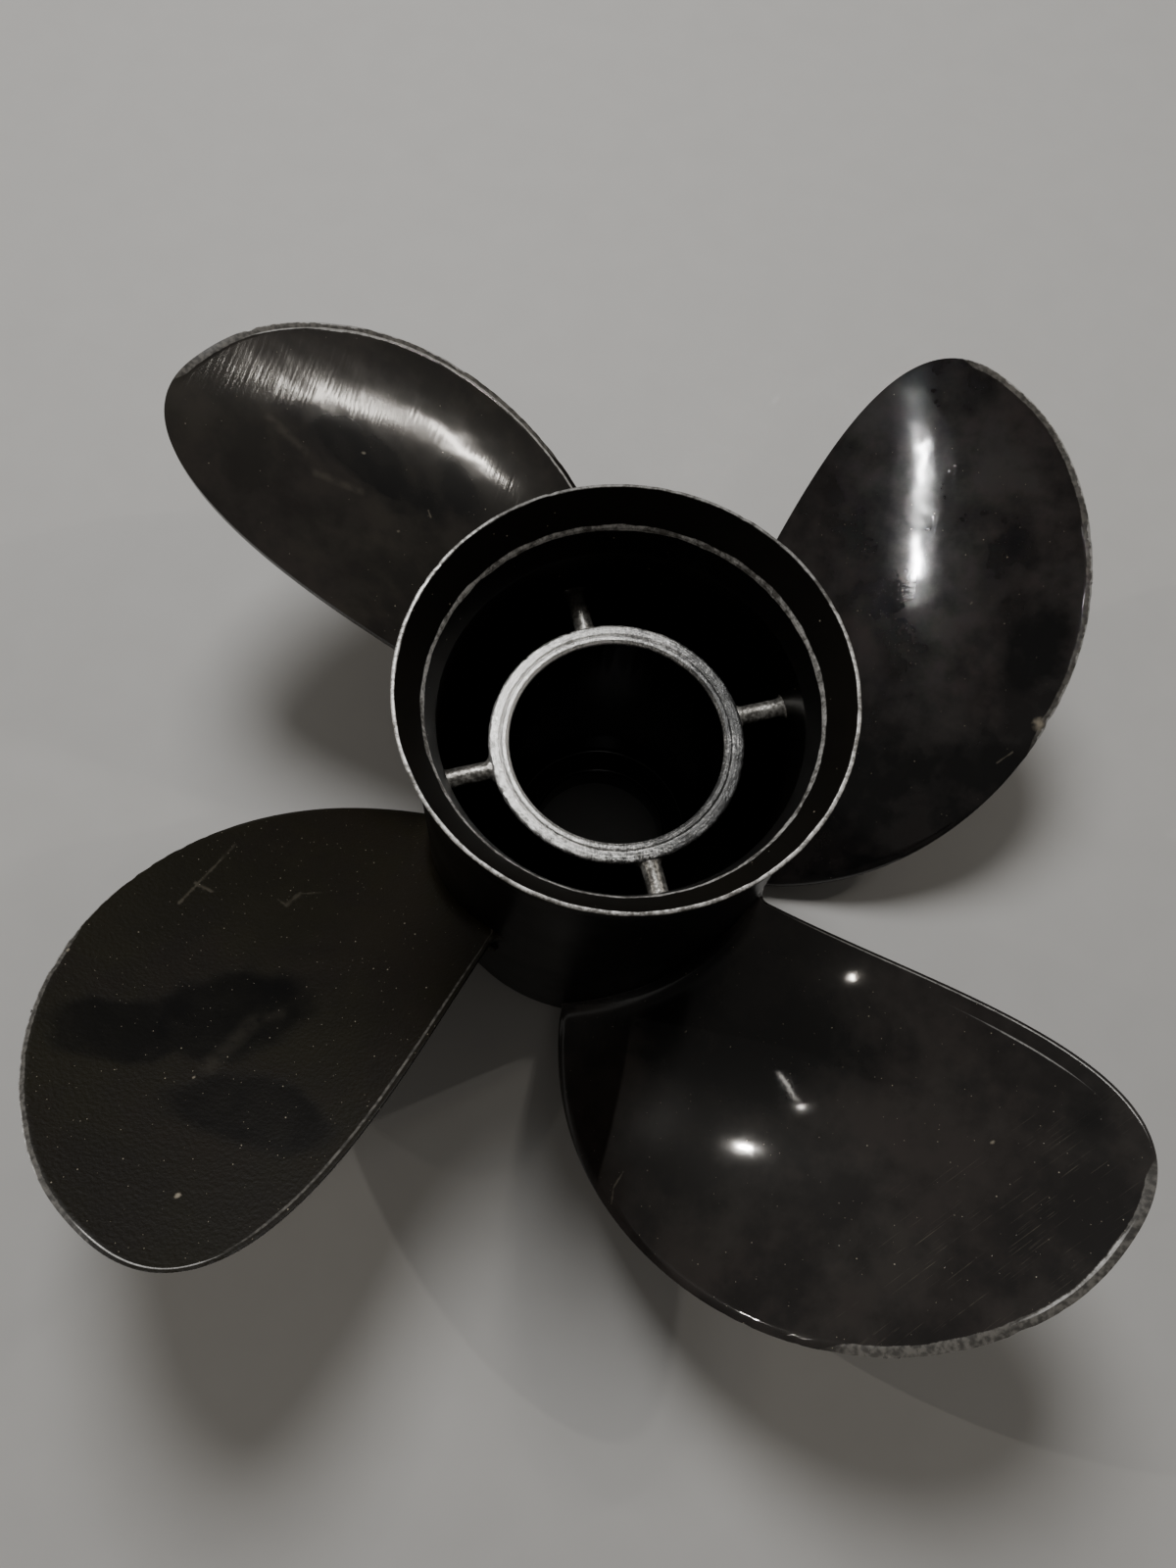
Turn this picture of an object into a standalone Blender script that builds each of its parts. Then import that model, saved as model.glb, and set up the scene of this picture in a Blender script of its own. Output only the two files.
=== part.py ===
"""Four-blade aluminium propeller of an outboard motor, as the named regions of its one casting.

Units are metres. The shaft axis is Z, pointing aft, and the front face of the barrel stands on z = 0.
"""

import math

import bmesh
import bpy
from mathutils import Vector

# Fit between regions that touch
SEAT_GAP = 0.0003

# Barrel, the outer tube that carries the blades
BARREL_SHELL_LENGTH = 0.108
BARREL_FRONT_RADIUS = 0.0540
BARREL_REAR_RADIUS = 0.0527
BARREL_FRONT_WALL = 0.0063
BARREL_REAR_WALL = 0.0063
BARREL_EDGE_ROUND = 0.0008

# Flared exhaust ring behind the barrel
FLARE_LENGTH = 0.029
FLARE_OVERHANG = 0.0033
FLARE_RIM_WIDTH = 0.0010
FLARE_CONE_DEPTH = 0.0096
FLARE_CONE_WIDTH = 0.0060
FLARE_LAND_HEIGHT = 0.0085

# Inner hub tube and the ledge that takes the thrust
HUB_FRONT_RECESS = 0.0080
HUB_LENGTH = 0.0953
HUB_FRONT_RADIUS = 0.0330
HUB_REAR_RADIUS = 0.0339
HUB_BORE_RADIUS = 0.0284
HUB_EDGE_ROUND = 0.0005
SEAT_RING_OFFSET = 0.0050
SEAT_RING_THICKNESS = 0.0120
SEAT_RING_BORE_RADIUS = 0.0207

# Ribs between the hub and the barrel
RIB_COUNT = 4
RIB_FIRST_ANGLE = math.radians(25.4)
RIB_THICKNESS = 0.0052
RIB_FRONT_RECESS = 0.0040
RIB_REAR_RECESS = 0.0005

# Blades: a right-hand helicoid with more lead at the tip, raked aft, its chord slightly hollow
BLADE_COUNT = 4
BLADE_TIP_RADIUS = 0.1743
BLADE_FRONT_CLEARANCE = 0.0059
LEAD_AT_HUB = 0.341
LEAD_AT_TIP = 0.427
STRAIGHT_RAKE = 0.0056
CURVED_RAKE = 0.0328
CAMBER = -0.068
BLADE_ROOT_THICKNESS = 0.0115
BLADE_TIP_THICKNESS = 0.0040
BLADE_EDGE_THICKNESS = 0.0024
BLADE_EDGE_ROUND = 0.0008
BLADE_FILLET_RADIUS = 0.0070

# Control points of the blade's outline, as share of the span and degrees round the shaft,
# from the leading edge at the root, over the tip, to the trailing edge at the root
BLADE_OUTLINE = [
    (-0.017, 0.0),
    (0.045, -1.2),
    (0.400, 5.8),
    (0.884, 28.4),
    (1.007, 46.3),
    (1.001, 54.9),
    (0.935, 68.6),
    (0.354, 69.4),
    (-0.017, 64.9),
]
OUTLINE_DEGREE = 3
# Where along the outline the leading side ends and the trailing side begins
LEADING_END = 0.40
TRAILING_START = 0.66

# Mesh fineness
TURNED_STEPS = 72
FLARE_STEPS = 5
CHORD_STEPS = 16
SPAN_STEPS = 15

BARREL_TOP = BARREL_SHELL_LENGTH
RIM_TOP = BARREL_TOP + SEAT_GAP + FLARE_LENGTH
HUB_TOP = HUB_FRONT_RECESS + HUB_LENGTH

BLACK_PAINT = (0.012, 0.012, 0.013)
WORN_METAL = (0.52, 0.51, 0.49)


def clear_scene():
    for thing in list(bpy.data.objects):
        bpy.data.objects.remove(thing, do_unlink=True)


def finish(name, colour, roughness, metallic):
    """A Principled material in one colour."""
    material = bpy.data.materials.new(name)
    material.use_nodes = True
    shader = material.node_tree.nodes["Principled BSDF"]
    shader.inputs["Base Color"].default_value = (*colour, 1.0)
    shader.inputs["Roughness"].default_value = roughness
    shader.inputs["Metallic"].default_value = metallic
    return material


def add_object(name, mesh, collection, parent, material):
    piece = bpy.data.objects.new(name, mesh)
    collection.objects.link(piece)
    piece.parent = parent
    if not mesh.materials:
        mesh.materials.append(material)
    return piece


def between(low, high, share):
    return low + (high - low) * share


def barrel_radius(z):
    """Outer radius of the barrel at height z."""
    return between(BARREL_FRONT_RADIUS, BARREL_REAR_RADIUS, z / BARREL_SHELL_LENGTH)


def bore_radius(z):
    """Radius of the barrel's inside wall at height z."""
    return barrel_radius(z) - between(BARREL_FRONT_WALL, BARREL_REAR_WALL, z / BARREL_SHELL_LENGTH)


def hub_radius(z):
    """Outer radius of the inner hub at height z."""
    return between(HUB_FRONT_RADIUS, HUB_REAR_RADIUS, (z - HUB_FRONT_RECESS) / HUB_LENGTH)


def turned(name, profile, collection, parent, material, edge_round=0.0):
    """A ring turned round Z from a closed profile of (radius, z) that starts down its outer side."""
    shape = bmesh.new()
    points = [shape.verts.new((radius, 0.0, z)) for radius, z in profile]
    for start, end in zip(points, points[1:] + points[:1]):
        shape.edges.new((start, end))
    mesh = bpy.data.meshes.new(name)
    shape.to_mesh(mesh)
    shape.free()
    piece = add_object(name, mesh, collection, parent, material)
    screw = piece.modifiers.new("turn", "SCREW")
    screw.axis = "Z"
    screw.steps = TURNED_STEPS
    screw.render_steps = TURNED_STEPS
    screw.use_merge_vertices = True
    screw.merge_threshold = 0.00001
    screw.use_smooth_shade = True
    if edge_round:
        bevel = piece.modifiers.new("rounded edges", "BEVEL")
        bevel.width = edge_round
        bevel.segments = 2
        bevel.limit_method = "ANGLE"
        bevel.angle_limit = math.radians(50)
    return piece


def make_barrel(collection, parent):
    profile = [
        (BARREL_REAR_RADIUS, BARREL_TOP),
        (BARREL_FRONT_RADIUS, 0.0),
        (bore_radius(0.0), 0.0),
        (bore_radius(BARREL_TOP), BARREL_TOP),
    ]
    paint = finish("barrel_paint", BLACK_PAINT, 0.35, 0.0)
    turned("barrel", profile, collection, parent, paint, BARREL_EDGE_ROUND)


def make_flare_ring(collection, parent):
    """The ring that opens outward behind the barrel: a cone inside its rim, then a steep land."""
    base = BARREL_TOP + SEAT_GAP
    rim_radius = BARREL_REAR_RADIUS + FLARE_OVERHANG
    lip_radius = rim_radius - FLARE_RIM_WIDTH
    neck_radius = bore_radius(BARREL_TOP)
    outer = []
    for step in range(FLARE_STEPS + 1):
        share = 1.0 - step / FLARE_STEPS
        outer.append((between(BARREL_REAR_RADIUS, rim_radius, share**2), base + FLARE_LENGTH * share))
    cone_foot = RIM_TOP - FLARE_CONE_DEPTH
    inner = [
        (neck_radius, base),
        (neck_radius, cone_foot - FLARE_LAND_HEIGHT),
        (lip_radius - FLARE_CONE_WIDTH, cone_foot),
        (lip_radius, RIM_TOP),
    ]
    paint = finish("flare_paint", BLACK_PAINT, 0.3, 0.0)
    turned("exhaust_flare_ring", outer + inner, collection, parent, paint)


def make_inner_hub(collection, parent):
    profile = [
        (HUB_REAR_RADIUS, HUB_TOP),
        (HUB_FRONT_RADIUS, HUB_FRONT_RECESS),
        (HUB_BORE_RADIUS, HUB_FRONT_RECESS),
        (HUB_BORE_RADIUS, HUB_TOP),
    ]
    metal = finish("hub_metal", WORN_METAL, 0.5, 1.0)
    turned("inner_hub", profile, collection, parent, metal, HUB_EDGE_ROUND)


def make_thrust_seat(collection, parent):
    """The ledge inside the hub, near its front end."""
    foot = HUB_FRONT_RECESS + SEAT_RING_OFFSET
    top = foot + SEAT_RING_THICKNESS
    outside = HUB_BORE_RADIUS - SEAT_GAP
    profile = [
        (outside, top),
        (outside, foot),
        (SEAT_RING_BORE_RADIUS, foot),
        (SEAT_RING_BORE_RADIUS, top),
    ]
    paint = finish("seat_paint", BLACK_PAINT, 0.45, 0.0)
    turned("thrust_seat_ring", profile, collection, parent, paint)


def rib_mesh():
    """A web along +X from hub to barrel, its aft edge fully rounded."""
    foot = HUB_FRONT_RECESS + RIB_FRONT_RECESS
    top = HUB_TOP - RIB_REAR_RECESS
    half = RIB_THICKNESS / 2
    shape = bmesh.new()
    bmesh.ops.create_cube(shape, size=1.0)
    for corner in shape.verts:
        outer = corner.co.x > 0
        z = top if corner.co.z > 0 else foot
        reach = math.sqrt((bore_radius(z) - SEAT_GAP) ** 2 - half**2)
        x = reach if outer else hub_radius(z) + SEAT_GAP
        corner.co = Vector((x, math.copysign(half, corner.co.y), z))
    aft = [
        edge
        for edge in shape.edges
        if all(corner.co.z == edge.verts[0].co.z for corner in edge.verts)
        and edge.verts[0].co.z > foot + half
        and edge.verts[0].co.y * edge.verts[1].co.y > 0
    ]
    bmesh.ops.bevel(shape, geom=aft, offset=half * 0.96, segments=4, profile=0.5, affect="EDGES")
    mesh = bpy.data.meshes.new("rib")
    shape.to_mesh(mesh)
    shape.free()
    mesh.shade_smooth()
    mesh.set_sharp_from_angle(angle=math.radians(35))
    return mesh


def make_ribs(collection, parent):
    mesh = rib_mesh()
    metal = finish("rib_metal", WORN_METAL, 0.45, 1.0)
    for number in range(RIB_COUNT):
        rib = add_object(f"rib_{number + 1}", mesh, collection, parent, metal)
        rib.rotation_euler.z = RIB_FIRST_ANGLE + number * math.tau / RIB_COUNT


def knots():
    """Clamped, evenly spaced knots for the outline's B-spline."""
    spans = len(BLADE_OUTLINE) - OUTLINE_DEGREE
    inner = [step / spans for step in range(1, spans)]
    return [0.0] * (OUTLINE_DEGREE + 1) + inner + [1.0] * (OUTLINE_DEGREE + 1)


def outline_at(place):
    """Radius and angle of the outline at a place from 0 to 1, by de Boor's rule."""
    knot = knots()
    last = len(BLADE_OUTLINE) - 1
    place = min(max(place, 0.0), 1.0 - 1e-9)
    span = max(index for index in range(OUTLINE_DEGREE, last + 1) if knot[index] <= place)
    points = [Vector(BLADE_OUTLINE[span - OUTLINE_DEGREE + step]) for step in range(OUTLINE_DEGREE + 1)]
    for level in range(1, OUTLINE_DEGREE + 1):
        for step in range(OUTLINE_DEGREE, level - 1, -1):
            low = knot[span - OUTLINE_DEGREE + step]
            high = knot[span + 1 + step - level]
            points[step] = points[step - 1].lerp(points[step], (place - low) / (high - low))
    share, degrees = points[OUTLINE_DEGREE]
    return between(BARREL_FRONT_RADIUS, BLADE_TIP_RADIUS, share), math.radians(degrees)


def face_height(radius, angle):
    """Height of the blade's pressure face."""
    share = (radius - BARREL_FRONT_RADIUS) / (BLADE_TIP_RADIUS - BARREL_FRONT_RADIUS)
    lead = between(LEAD_AT_HUB, LEAD_AT_TIP, share)
    rake = STRAIGHT_RAKE * share + CURVED_RAKE * share**2
    return BLADE_FRONT_CLEARANCE + rake + lead / math.tau * angle + CAMBER * radius * angle**2


def face_point(plan):
    angle = math.atan2(plan.y, plan.x)
    return Vector((plan.x, plan.y, face_height(plan.length, angle)))


def plan_point(radius, angle):
    return Vector((radius * math.cos(angle), radius * math.sin(angle)))


def root_place(low, high):
    """The place between two on the outline where it leaves the barrel."""
    for _ in range(40):
        middle = (low + high) / 2
        radius, angle = outline_at(middle)
        if radius < barrel_radius(face_height(radius, angle)) + SEAT_GAP:
            low = middle
        else:
            high = middle
    return high


def root_point(angle):
    """Point of the pressure face on the barrel's skin, at an angle round the shaft."""
    radius = BARREL_FRONT_RADIUS
    for _ in range(4):
        radius = barrel_radius(face_height(radius, angle)) + SEAT_GAP
    return plan_point(radius, angle)


def eased(step, steps):
    """Spacing from 0 to 1 that is finer near the root."""
    share = step / steps
    return 0.45 * share + 0.55 * share**2


def blade_plan():
    """Rows of plan points over the blade, a Coons patch between its root, two sides and tip."""
    lead_root = root_place(0.0, LEADING_END)
    trail_root = root_place(1.0, TRAILING_START)
    first = outline_at(lead_root)[1]
    final = outline_at(trail_root)[1]

    def side(start, end, share):
        return plan_point(*outline_at(between(start, end, share)))

    corner_lead = side(lead_root, LEADING_END, 1.0)
    corner_trail = side(trail_root, TRAILING_START, 1.0)
    rows = []
    for row in range(SPAN_STEPS + 1):
        out = eased(row, SPAN_STEPS)
        lead = side(lead_root, LEADING_END, out)
        trail = side(trail_root, TRAILING_START, out)
        points = []
        for column in range(CHORD_STEPS + 1):
            along = column / CHORD_STEPS
            root = root_point(between(first, final, along))
            tip = side(LEADING_END, TRAILING_START, along)
            ruled = root.lerp(tip, out) + lead.lerp(trail, along)
            corners_in = root_point(first).lerp(root_point(final), along)
            corners_out = corner_lead.lerp(corner_trail, along)
            points.append(ruled - corners_in.lerp(corners_out, out))
        rows.append(points)
    return rows


def face_normal(plan):
    """Unit normal of the pressure face, pointing aft."""
    step = 0.0001
    along_x = face_point(plan + Vector((step, 0.0))) - face_point(plan - Vector((step, 0.0)))
    along_y = face_point(plan + Vector((0.0, step))) - face_point(plan - Vector((0.0, step)))
    return along_x.cross(along_y).normalized()


def thickness(out, along):
    """Blade thickness: most in the middle of the root, least round the edge."""
    core = between(BLADE_ROOT_THICKNESS, BLADE_TIP_THICKNESS, out)
    crown = (1.0 - abs(2 * along - 1) ** 2.5) * (1.0 - out**5)
    return BLADE_EDGE_THICKNESS + (core - BLADE_EDGE_THICKNESS) * crown


def fillet(point, along):
    """How far the fillet at the barrel lifts a face that leaves it at right angles."""
    away = math.hypot(point.x, point.y) - barrel_radius(point.z)
    if away >= BLADE_FILLET_RADIUS:
        return 0.0
    short = 1.0 - max(away, 0.0) / BLADE_FILLET_RADIUS
    crown = math.sqrt(1.0 - abs(2 * along - 1) ** 3)
    return BLADE_FILLET_RADIUS * (1.0 - math.sqrt(1.0 - short**2)) * crown


def seated(point):
    """The point moved in or out onto the barrel's skin."""
    plan = plan_point(barrel_radius(point.z) + SEAT_GAP, math.atan2(point.y, point.x))
    return Vector((plan.x, plan.y, point.z))


def inward_from(plan, row, column):
    """A short step from an edge point of the blade towards its inside, in plan."""
    inner_row = min(row, SPAN_STEPS - 1)
    inner_column = min(max(column, 1), CHORD_STEPS - 1)
    step = plan[inner_row][inner_column] - plan[row][column]
    return (step.normalized() * BLADE_EDGE_ROUND).to_3d()


def section_points(plan, row, column):
    """Points of the pressure face, the edge and the suction face at one place of the blade."""
    along = column / CHORD_STEPS
    spot = plan[row][column]
    face = face_point(spot)
    normal = face_normal(spot)
    lift = fillet(face, along)
    top = face + normal * lift
    bottom = face - normal * (thickness(eased(row, SPAN_STEPS), along) + lift)
    edge = (top + bottom) / 2
    if column in (0, CHORD_STEPS) or row == SPAN_STEPS:
        inward = inward_from(plan, row, column)
        top += inward
        bottom += inward
    if row == 0:
        return seated(top), seated(edge), seated(bottom)
    return top, edge, bottom


def border_places():
    """The grid's border as one loop: leading side, tip, trailing side and root."""
    border = [(row, 0) for row in range(SPAN_STEPS)]
    border += [(SPAN_STEPS, column) for column in range(CHORD_STEPS)]
    border += [(row, CHORD_STEPS) for row in range(SPAN_STEPS, 0, -1)]
    border += [(0, column) for column in range(CHORD_STEPS, 0, -1)]
    return border


def blade_mesh():
    """Closed blade: a pressure face, a suction face, and a rounded edge and root between them."""
    plan = blade_plan()
    border = border_places()
    shape = bmesh.new()
    pressure = {}
    edge = {}
    suction = {}
    for row in range(SPAN_STEPS + 1):
        for column in range(CHORD_STEPS + 1):
            top, middle, bottom = section_points(plan, row, column)
            pressure[row, column] = shape.verts.new(top)
            suction[row, column] = shape.verts.new(bottom)
            if (row, column) in border:
                edge[row, column] = shape.verts.new(middle)
    for row in range(SPAN_STEPS):
        for column in range(CHORD_STEPS):
            corners = [(row, column), (row + 1, column), (row + 1, column + 1), (row, column + 1)]
            shape.faces.new([pressure[corner] for corner in corners])
            shape.faces.new([suction[corner] for corner in reversed(corners)])
    for here, there in zip(border, border[1:] + border[:1]):
        for upper, lower in ((pressure, edge), (edge, suction)):
            shape.faces.new((upper[here], upper[there], lower[there], lower[here]))
    bmesh.ops.recalc_face_normals(shape, faces=shape.faces)
    mesh = bpy.data.meshes.new("blade")
    shape.to_mesh(mesh)
    shape.free()
    mesh.shade_smooth()
    mesh.set_sharp_from_angle(angle=math.radians(60))
    return mesh


def make_blades(collection, parent):
    mesh = blade_mesh()
    paint = finish("blade_paint", BLACK_PAINT, 0.22, 0.0)
    for number in range(BLADE_COUNT):
        blade = add_object(f"blade_{number + 1}", mesh, collection, parent, paint)
        blade.rotation_euler.z = number * math.tau / BLADE_COUNT


def main():
    clear_scene()
    collection = bpy.data.collections.new("outboard_propeller")
    bpy.context.scene.collection.children.link(collection)
    shaft_axis = bpy.data.objects.new("shaft_axis", None)
    collection.objects.link(shaft_axis)
    make_barrel(collection, shaft_axis)
    make_flare_ring(collection, shaft_axis)
    make_inner_hub(collection, shaft_axis)
    make_thrust_seat(collection, shaft_axis)
    make_ribs(collection, shaft_axis)
    make_blades(collection, shaft_axis)


main()
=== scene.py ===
# %% [markdown]
# # The looks of a four-blade outboard propeller
#
# The real object is one aluminium casting, sprayed black and then used: its blades are glossy in
# some places and dull in others, its edges are worn to bare metal, and the hub inside is bare.
# The solids that stand on disk give every size and place. This lesson dresses them: it makes a
# finer surface for each named region, gives it a finish, and leaves the solids as they are.
#
# The first cell loads the solids as a fixed frame. Everything after it is in metres, with the
# shaft along Z and the front end of the barrel on the floor.

# %% Load the solids
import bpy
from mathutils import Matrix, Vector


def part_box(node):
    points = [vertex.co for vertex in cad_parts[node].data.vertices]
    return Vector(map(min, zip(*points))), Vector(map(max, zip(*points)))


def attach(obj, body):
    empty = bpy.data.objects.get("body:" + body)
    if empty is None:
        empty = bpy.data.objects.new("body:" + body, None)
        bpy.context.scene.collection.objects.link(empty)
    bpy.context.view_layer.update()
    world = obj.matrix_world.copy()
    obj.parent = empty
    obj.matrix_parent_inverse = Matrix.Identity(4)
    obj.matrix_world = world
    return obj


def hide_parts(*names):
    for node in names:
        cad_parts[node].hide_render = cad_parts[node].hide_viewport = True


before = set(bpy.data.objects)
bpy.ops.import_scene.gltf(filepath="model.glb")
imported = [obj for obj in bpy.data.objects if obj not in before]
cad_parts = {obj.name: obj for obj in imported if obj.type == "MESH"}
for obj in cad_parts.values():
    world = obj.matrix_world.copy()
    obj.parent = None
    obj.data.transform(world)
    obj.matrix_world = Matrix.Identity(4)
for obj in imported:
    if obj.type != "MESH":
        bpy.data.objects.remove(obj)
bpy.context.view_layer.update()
print("solids:", ", ".join(sorted(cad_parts)))

# %% Tools
import math

import bmesh
import bpy
from mathutils import Quaternion, Vector, noise

# %% [markdown]
# ## Formulas as nodes
#
# Materials and Geometry Nodes are both graphs of small nodes. Placed one by one they are long to
# read, so this cell wraps a socket in a small class with Python's own operators. After it, a rule
# such as `lead / turn * angle` is written as it would be on paper, and each operator adds one
# Math node.

# %% A value that flows through a node tree
class Flow:
    """An output of a node tree that can be used in a formula."""

    x = property(lambda self: self.part("X"))
    y = property(lambda self: self.part("Y"))
    z = property(lambda self: self.part("Z"))

    def __init__(self, tree, socket):
        self.tree = tree
        self.socket = socket

    def math(self, operation, *others):
        return add_node(self.tree, "ShaderNodeMath", [self, *others], operation=operation)

    def normalized(self):
        return add_node(self.tree, "ShaderNodeVectorMath", [self], operation="NORMALIZE")

    def __add__(self, other):
        return self.math("ADD", other)

    def __sub__(self, other):
        return self.math("SUBTRACT", other)

    def __rsub__(self, other):
        return self.math("MULTIPLY_ADD", -1.0, other)

    def __mul__(self, other):
        return self.math("MULTIPLY", other)

    def __truediv__(self, other):
        return self.math("DIVIDE", other)

    def __pow__(self, other):
        return self.math("POWER", other)

    __radd__ = __add__
    __rmul__ = __mul__

    def clamped(self):
        return self.math("MAXIMUM", 0.0).math("MINIMUM", 1.0)

    def step(self, low, high):
        """0 up to low, 1 from high on and a soft step between. With low above high it falls."""
        inputs = [self, low, high, 0.0, 1.0]
        return add_node(self.tree, "ShaderNodeMapRange", inputs, interpolation_type="SMOOTHSTEP")

    def part(self, name):
        """One coordinate of a vector."""
        return add_node(self.tree, "ShaderNodeSeparateXYZ", [self]).output(name)

    def output(self, name):
        """Another output of the same node."""
        return Flow(self.tree, self.socket.node.outputs[name])


def add_node(tree, kind, inputs=(), output=0, **settings):
    """Adds a node. Its inputs are given in order or by name, as plain values or as flows."""
    node = tree.nodes.new(kind)
    for name, value in settings.items():
        setattr(node, name, value)
    pairs = inputs.items() if isinstance(inputs, dict) else enumerate(inputs)
    for name, value in pairs:
        if isinstance(value, Flow):
            tree.links.new(value.socket, node.inputs[name])
        elif value is not None:
            node.inputs[name].default_value = value
    return Flow(tree, node.outputs[output])


def join_coordinates(x, y, z):
    tree = next(value.tree for value in (x, y, z) if isinstance(value, Flow))
    return add_node(tree, "ShaderNodeCombineXYZ", [x, y, z])


def kind_of(value):
    """Whether a value or a flow is a number, a vector of three or a colour of four."""
    if isinstance(value, Flow):
        return {"VALUE": "FLOAT", "VECTOR": "VECTOR"}.get(value.socket.type, "RGBA")
    return {3: "VECTOR", 4: "RGBA"}[len(value)] if isinstance(value, tuple) else "FLOAT"


def blend(low, high, share):
    """A number, a vector or a colour between two, by a share that flows."""
    kinds = (kind_of(low), kind_of(high))
    kind = next((kind for kind in kinds if kind != "FLOAT"), "FLOAT")
    first, output = {"FLOAT": (2, 0), "VECTOR": (4, 1), "RGBA": (6, 2)}[kind]
    inputs = {0: share, first: low, first + 1: high}
    return add_node(share.tree, "ShaderNodeMix", inputs, output=output, data_type=kind)


print("a formula adds nodes for + - * / ** and step()")

# %% [markdown]
# ## Camera and light
#
# The photo was taken from close above with a wide lens, which makes the near blades look larger
# than the far ones. A camera with the same place, turn and lens gives the same outlines. It could
# be aimed by a constraint, but three plain angles also hold the slight roll of a hand-held phone.

# %% Camera
CAMERA_PLACE = (0.0, -0.1242, 0.4001)
CAMERA_TURN_DEGREES = (20.18, -3.15, 11.14)
CAMERA_LENS_MM = 28.1


def add_object(name, data):
    """An object at the origin of the scene."""
    thing = bpy.data.objects.new(name, data)
    bpy.context.scene.collection.objects.link(thing)
    return thing


camera = add_object("camera", bpy.data.cameras.new("camera"))
camera.data.lens = CAMERA_LENS_MM
camera.location = CAMERA_PLACE
camera.rotation_euler = [math.radians(angle) for angle in CAMERA_TURN_DEGREES]
bpy.context.scene.camera = camera
print("camera at", CAMERA_PLACE, "with a lens of", CAMERA_LENS_MM, "mm")

# %% [markdown]
# Black gloss paint has hardly any colour of its own: what shows is what it mirrors. So the small
# lamps are placed by where their reflections fall. Each blade faces another way and catches another
# lamp. Such a lamp is given by the place on the blade that shines and the direction in which the
# lamp stands from there, and it is as long and as tilted as the highlight asks. One large soft lamp
# behind the object lights the floor. The sky is dim, and dimmer overhead, where a photographer who
# leans over the object takes the light away.

# %% Lamps and sky
LAMP_DISTANCE = 1.5
SKY_COLOUR = (1.0, 0.95, 0.88, 1.0)
SKY_STRENGTH = 0.12
SKY_STRENGTH_OVERHEAD = 0.03
SKY_STRENGTH_LOW = 0.04

# Name, place that shines, azimuth and elevation in degrees, size, power, tilt, spread and warmth
LAMPS = [
    ("soft_lamp_behind", (0.0, 0.0, 0.06), 112, 58, (0.60, 0.60), 12.0, 0, 180, 0.0),
    ("lamp_on_blade_1_tip", (0.0755, 0.1284, 0.0874), -63.93, 64.4, (0.017, 0.015), 0.00038, -47, 5, 0.0),
    ("lamp_on_blade_1_middle", (0.0778, 0.1137, 0.0788), -62.6, 64.0, (0.055, 0.014), 0.0002, -60, 5, 0.0),
    ("lamp_on_blade_1_root", (0.0814, 0.0943, 0.0677), -60.7, 61.4, (0.070, 0.016), 0.0017, -83, 5, 0.0),
    ("lamp_on_blade_2_tip", (-0.1089, 0.1064, 0.0780), 28.4, 43.2, (0.112, 0.015), 0.50, 32, 180, 0.6),
    ("lamp_on_blade_2_root", (-0.0735, 0.1118, 0.0578), 25.5, 40.7, (0.021, 0.13), 0.95, 0, 180, 0.6),
    ("lamp_on_blade_4", (0.0578, -0.0900, 0.0468), 171.4, 38.1, (0.011, 0.022), 1.20, 0, 180, 0.5),
    ("lamp_on_blade_4_middle", (0.0702, -0.0770, 0.0544), -179.7, 42.5, (0.005, 0.006), 0.04, 0, 180, 0.5),
    ("lamp_on_blade_4_tail", (0.0670, -0.0732, 0.0530), -175.3, 41.6, (0.14, 0.004), 0.03, -20, 180, 0.5),
    ("lamp_on_blade_4_root", (0.0770, -0.0408, 0.0659), -147.7, 48.9, (0.022, 0.017), 0.28, 0, 180, 0.7),
]


def add_lamp(name, shines_on, azimuth, elevation, size, power, tilt, spread, warmth):
    """A soft lamp in this direction from the place that shines."""
    light = bpy.data.lights.new(name, "AREA")
    light.shape = "ELLIPSE"
    light.size, light.size_y = size
    light.energy = power
    light.spread = math.radians(spread)
    light.color = (1.0, 1.0 - 0.10 * warmth, 1.0 - 0.25 * warmth)
    around, above = math.radians(azimuth), math.radians(elevation)
    level = math.cos(above)
    toward = Vector((math.cos(around) * level, math.sin(around) * level, math.sin(above)))
    lamp = add_object(name, light)
    lamp.location = Vector(shines_on) + toward * LAMP_DISTANCE
    facing = toward.to_track_quat("Z", "Y") @ Quaternion((0.0, 0.0, 1.0), math.radians(tilt))
    lamp.rotation_euler = facing.to_euler()


def add_sky():
    """Dim light from all round, less from low down and least from overhead."""
    sky = bpy.data.worlds.new("studio")
    sky.use_nodes = True
    background = sky.node_tree.nodes["Background"]
    background.inputs["Color"].default_value = SKY_COLOUR
    height = add_node(sky.node_tree, "ShaderNodeTexCoord", output="Generated").z
    strength = blend(SKY_STRENGTH_LOW, SKY_STRENGTH, height.step(0.25, 0.60))
    strength = blend(strength, SKY_STRENGTH_OVERHEAD, height.step(0.84, 0.97))
    sky.node_tree.links.new(strength.socket, background.inputs["Strength"])
    bpy.context.scene.world = sky


add_sky()
for lamp in LAMPS:
    add_lamp(*lamp)
print("lamps:", len(LAMPS))

# %% [markdown]
# ## Finishes
#
# Every finish here is worked out from the place of a point on the object, so it needs no picture
# and stays put when the camera moves. Each one is built up as the real surface was: bare metal
# first, then paint, then the film, dust and wear of use.

# %% Start a finish
def start_finish(name):
    """A material and the place of the point that is shaded."""
    material = bpy.data.materials.new(name)
    material.use_nodes = True
    return material, add_node(material.node_tree, "ShaderNodeTexCoord", output="Object")


def cloud(place, scale, detail=2.0, roughness=0.5, warp=0.0):
    """Soft noise round 0.5, with this many lumps to the metre."""
    inputs = {"Vector": place, "Scale": scale, "Detail": detail, "Roughness": roughness}
    return add_node(place.tree, "ShaderNodeTexNoise", inputs | {"Distortion": warp})


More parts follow.
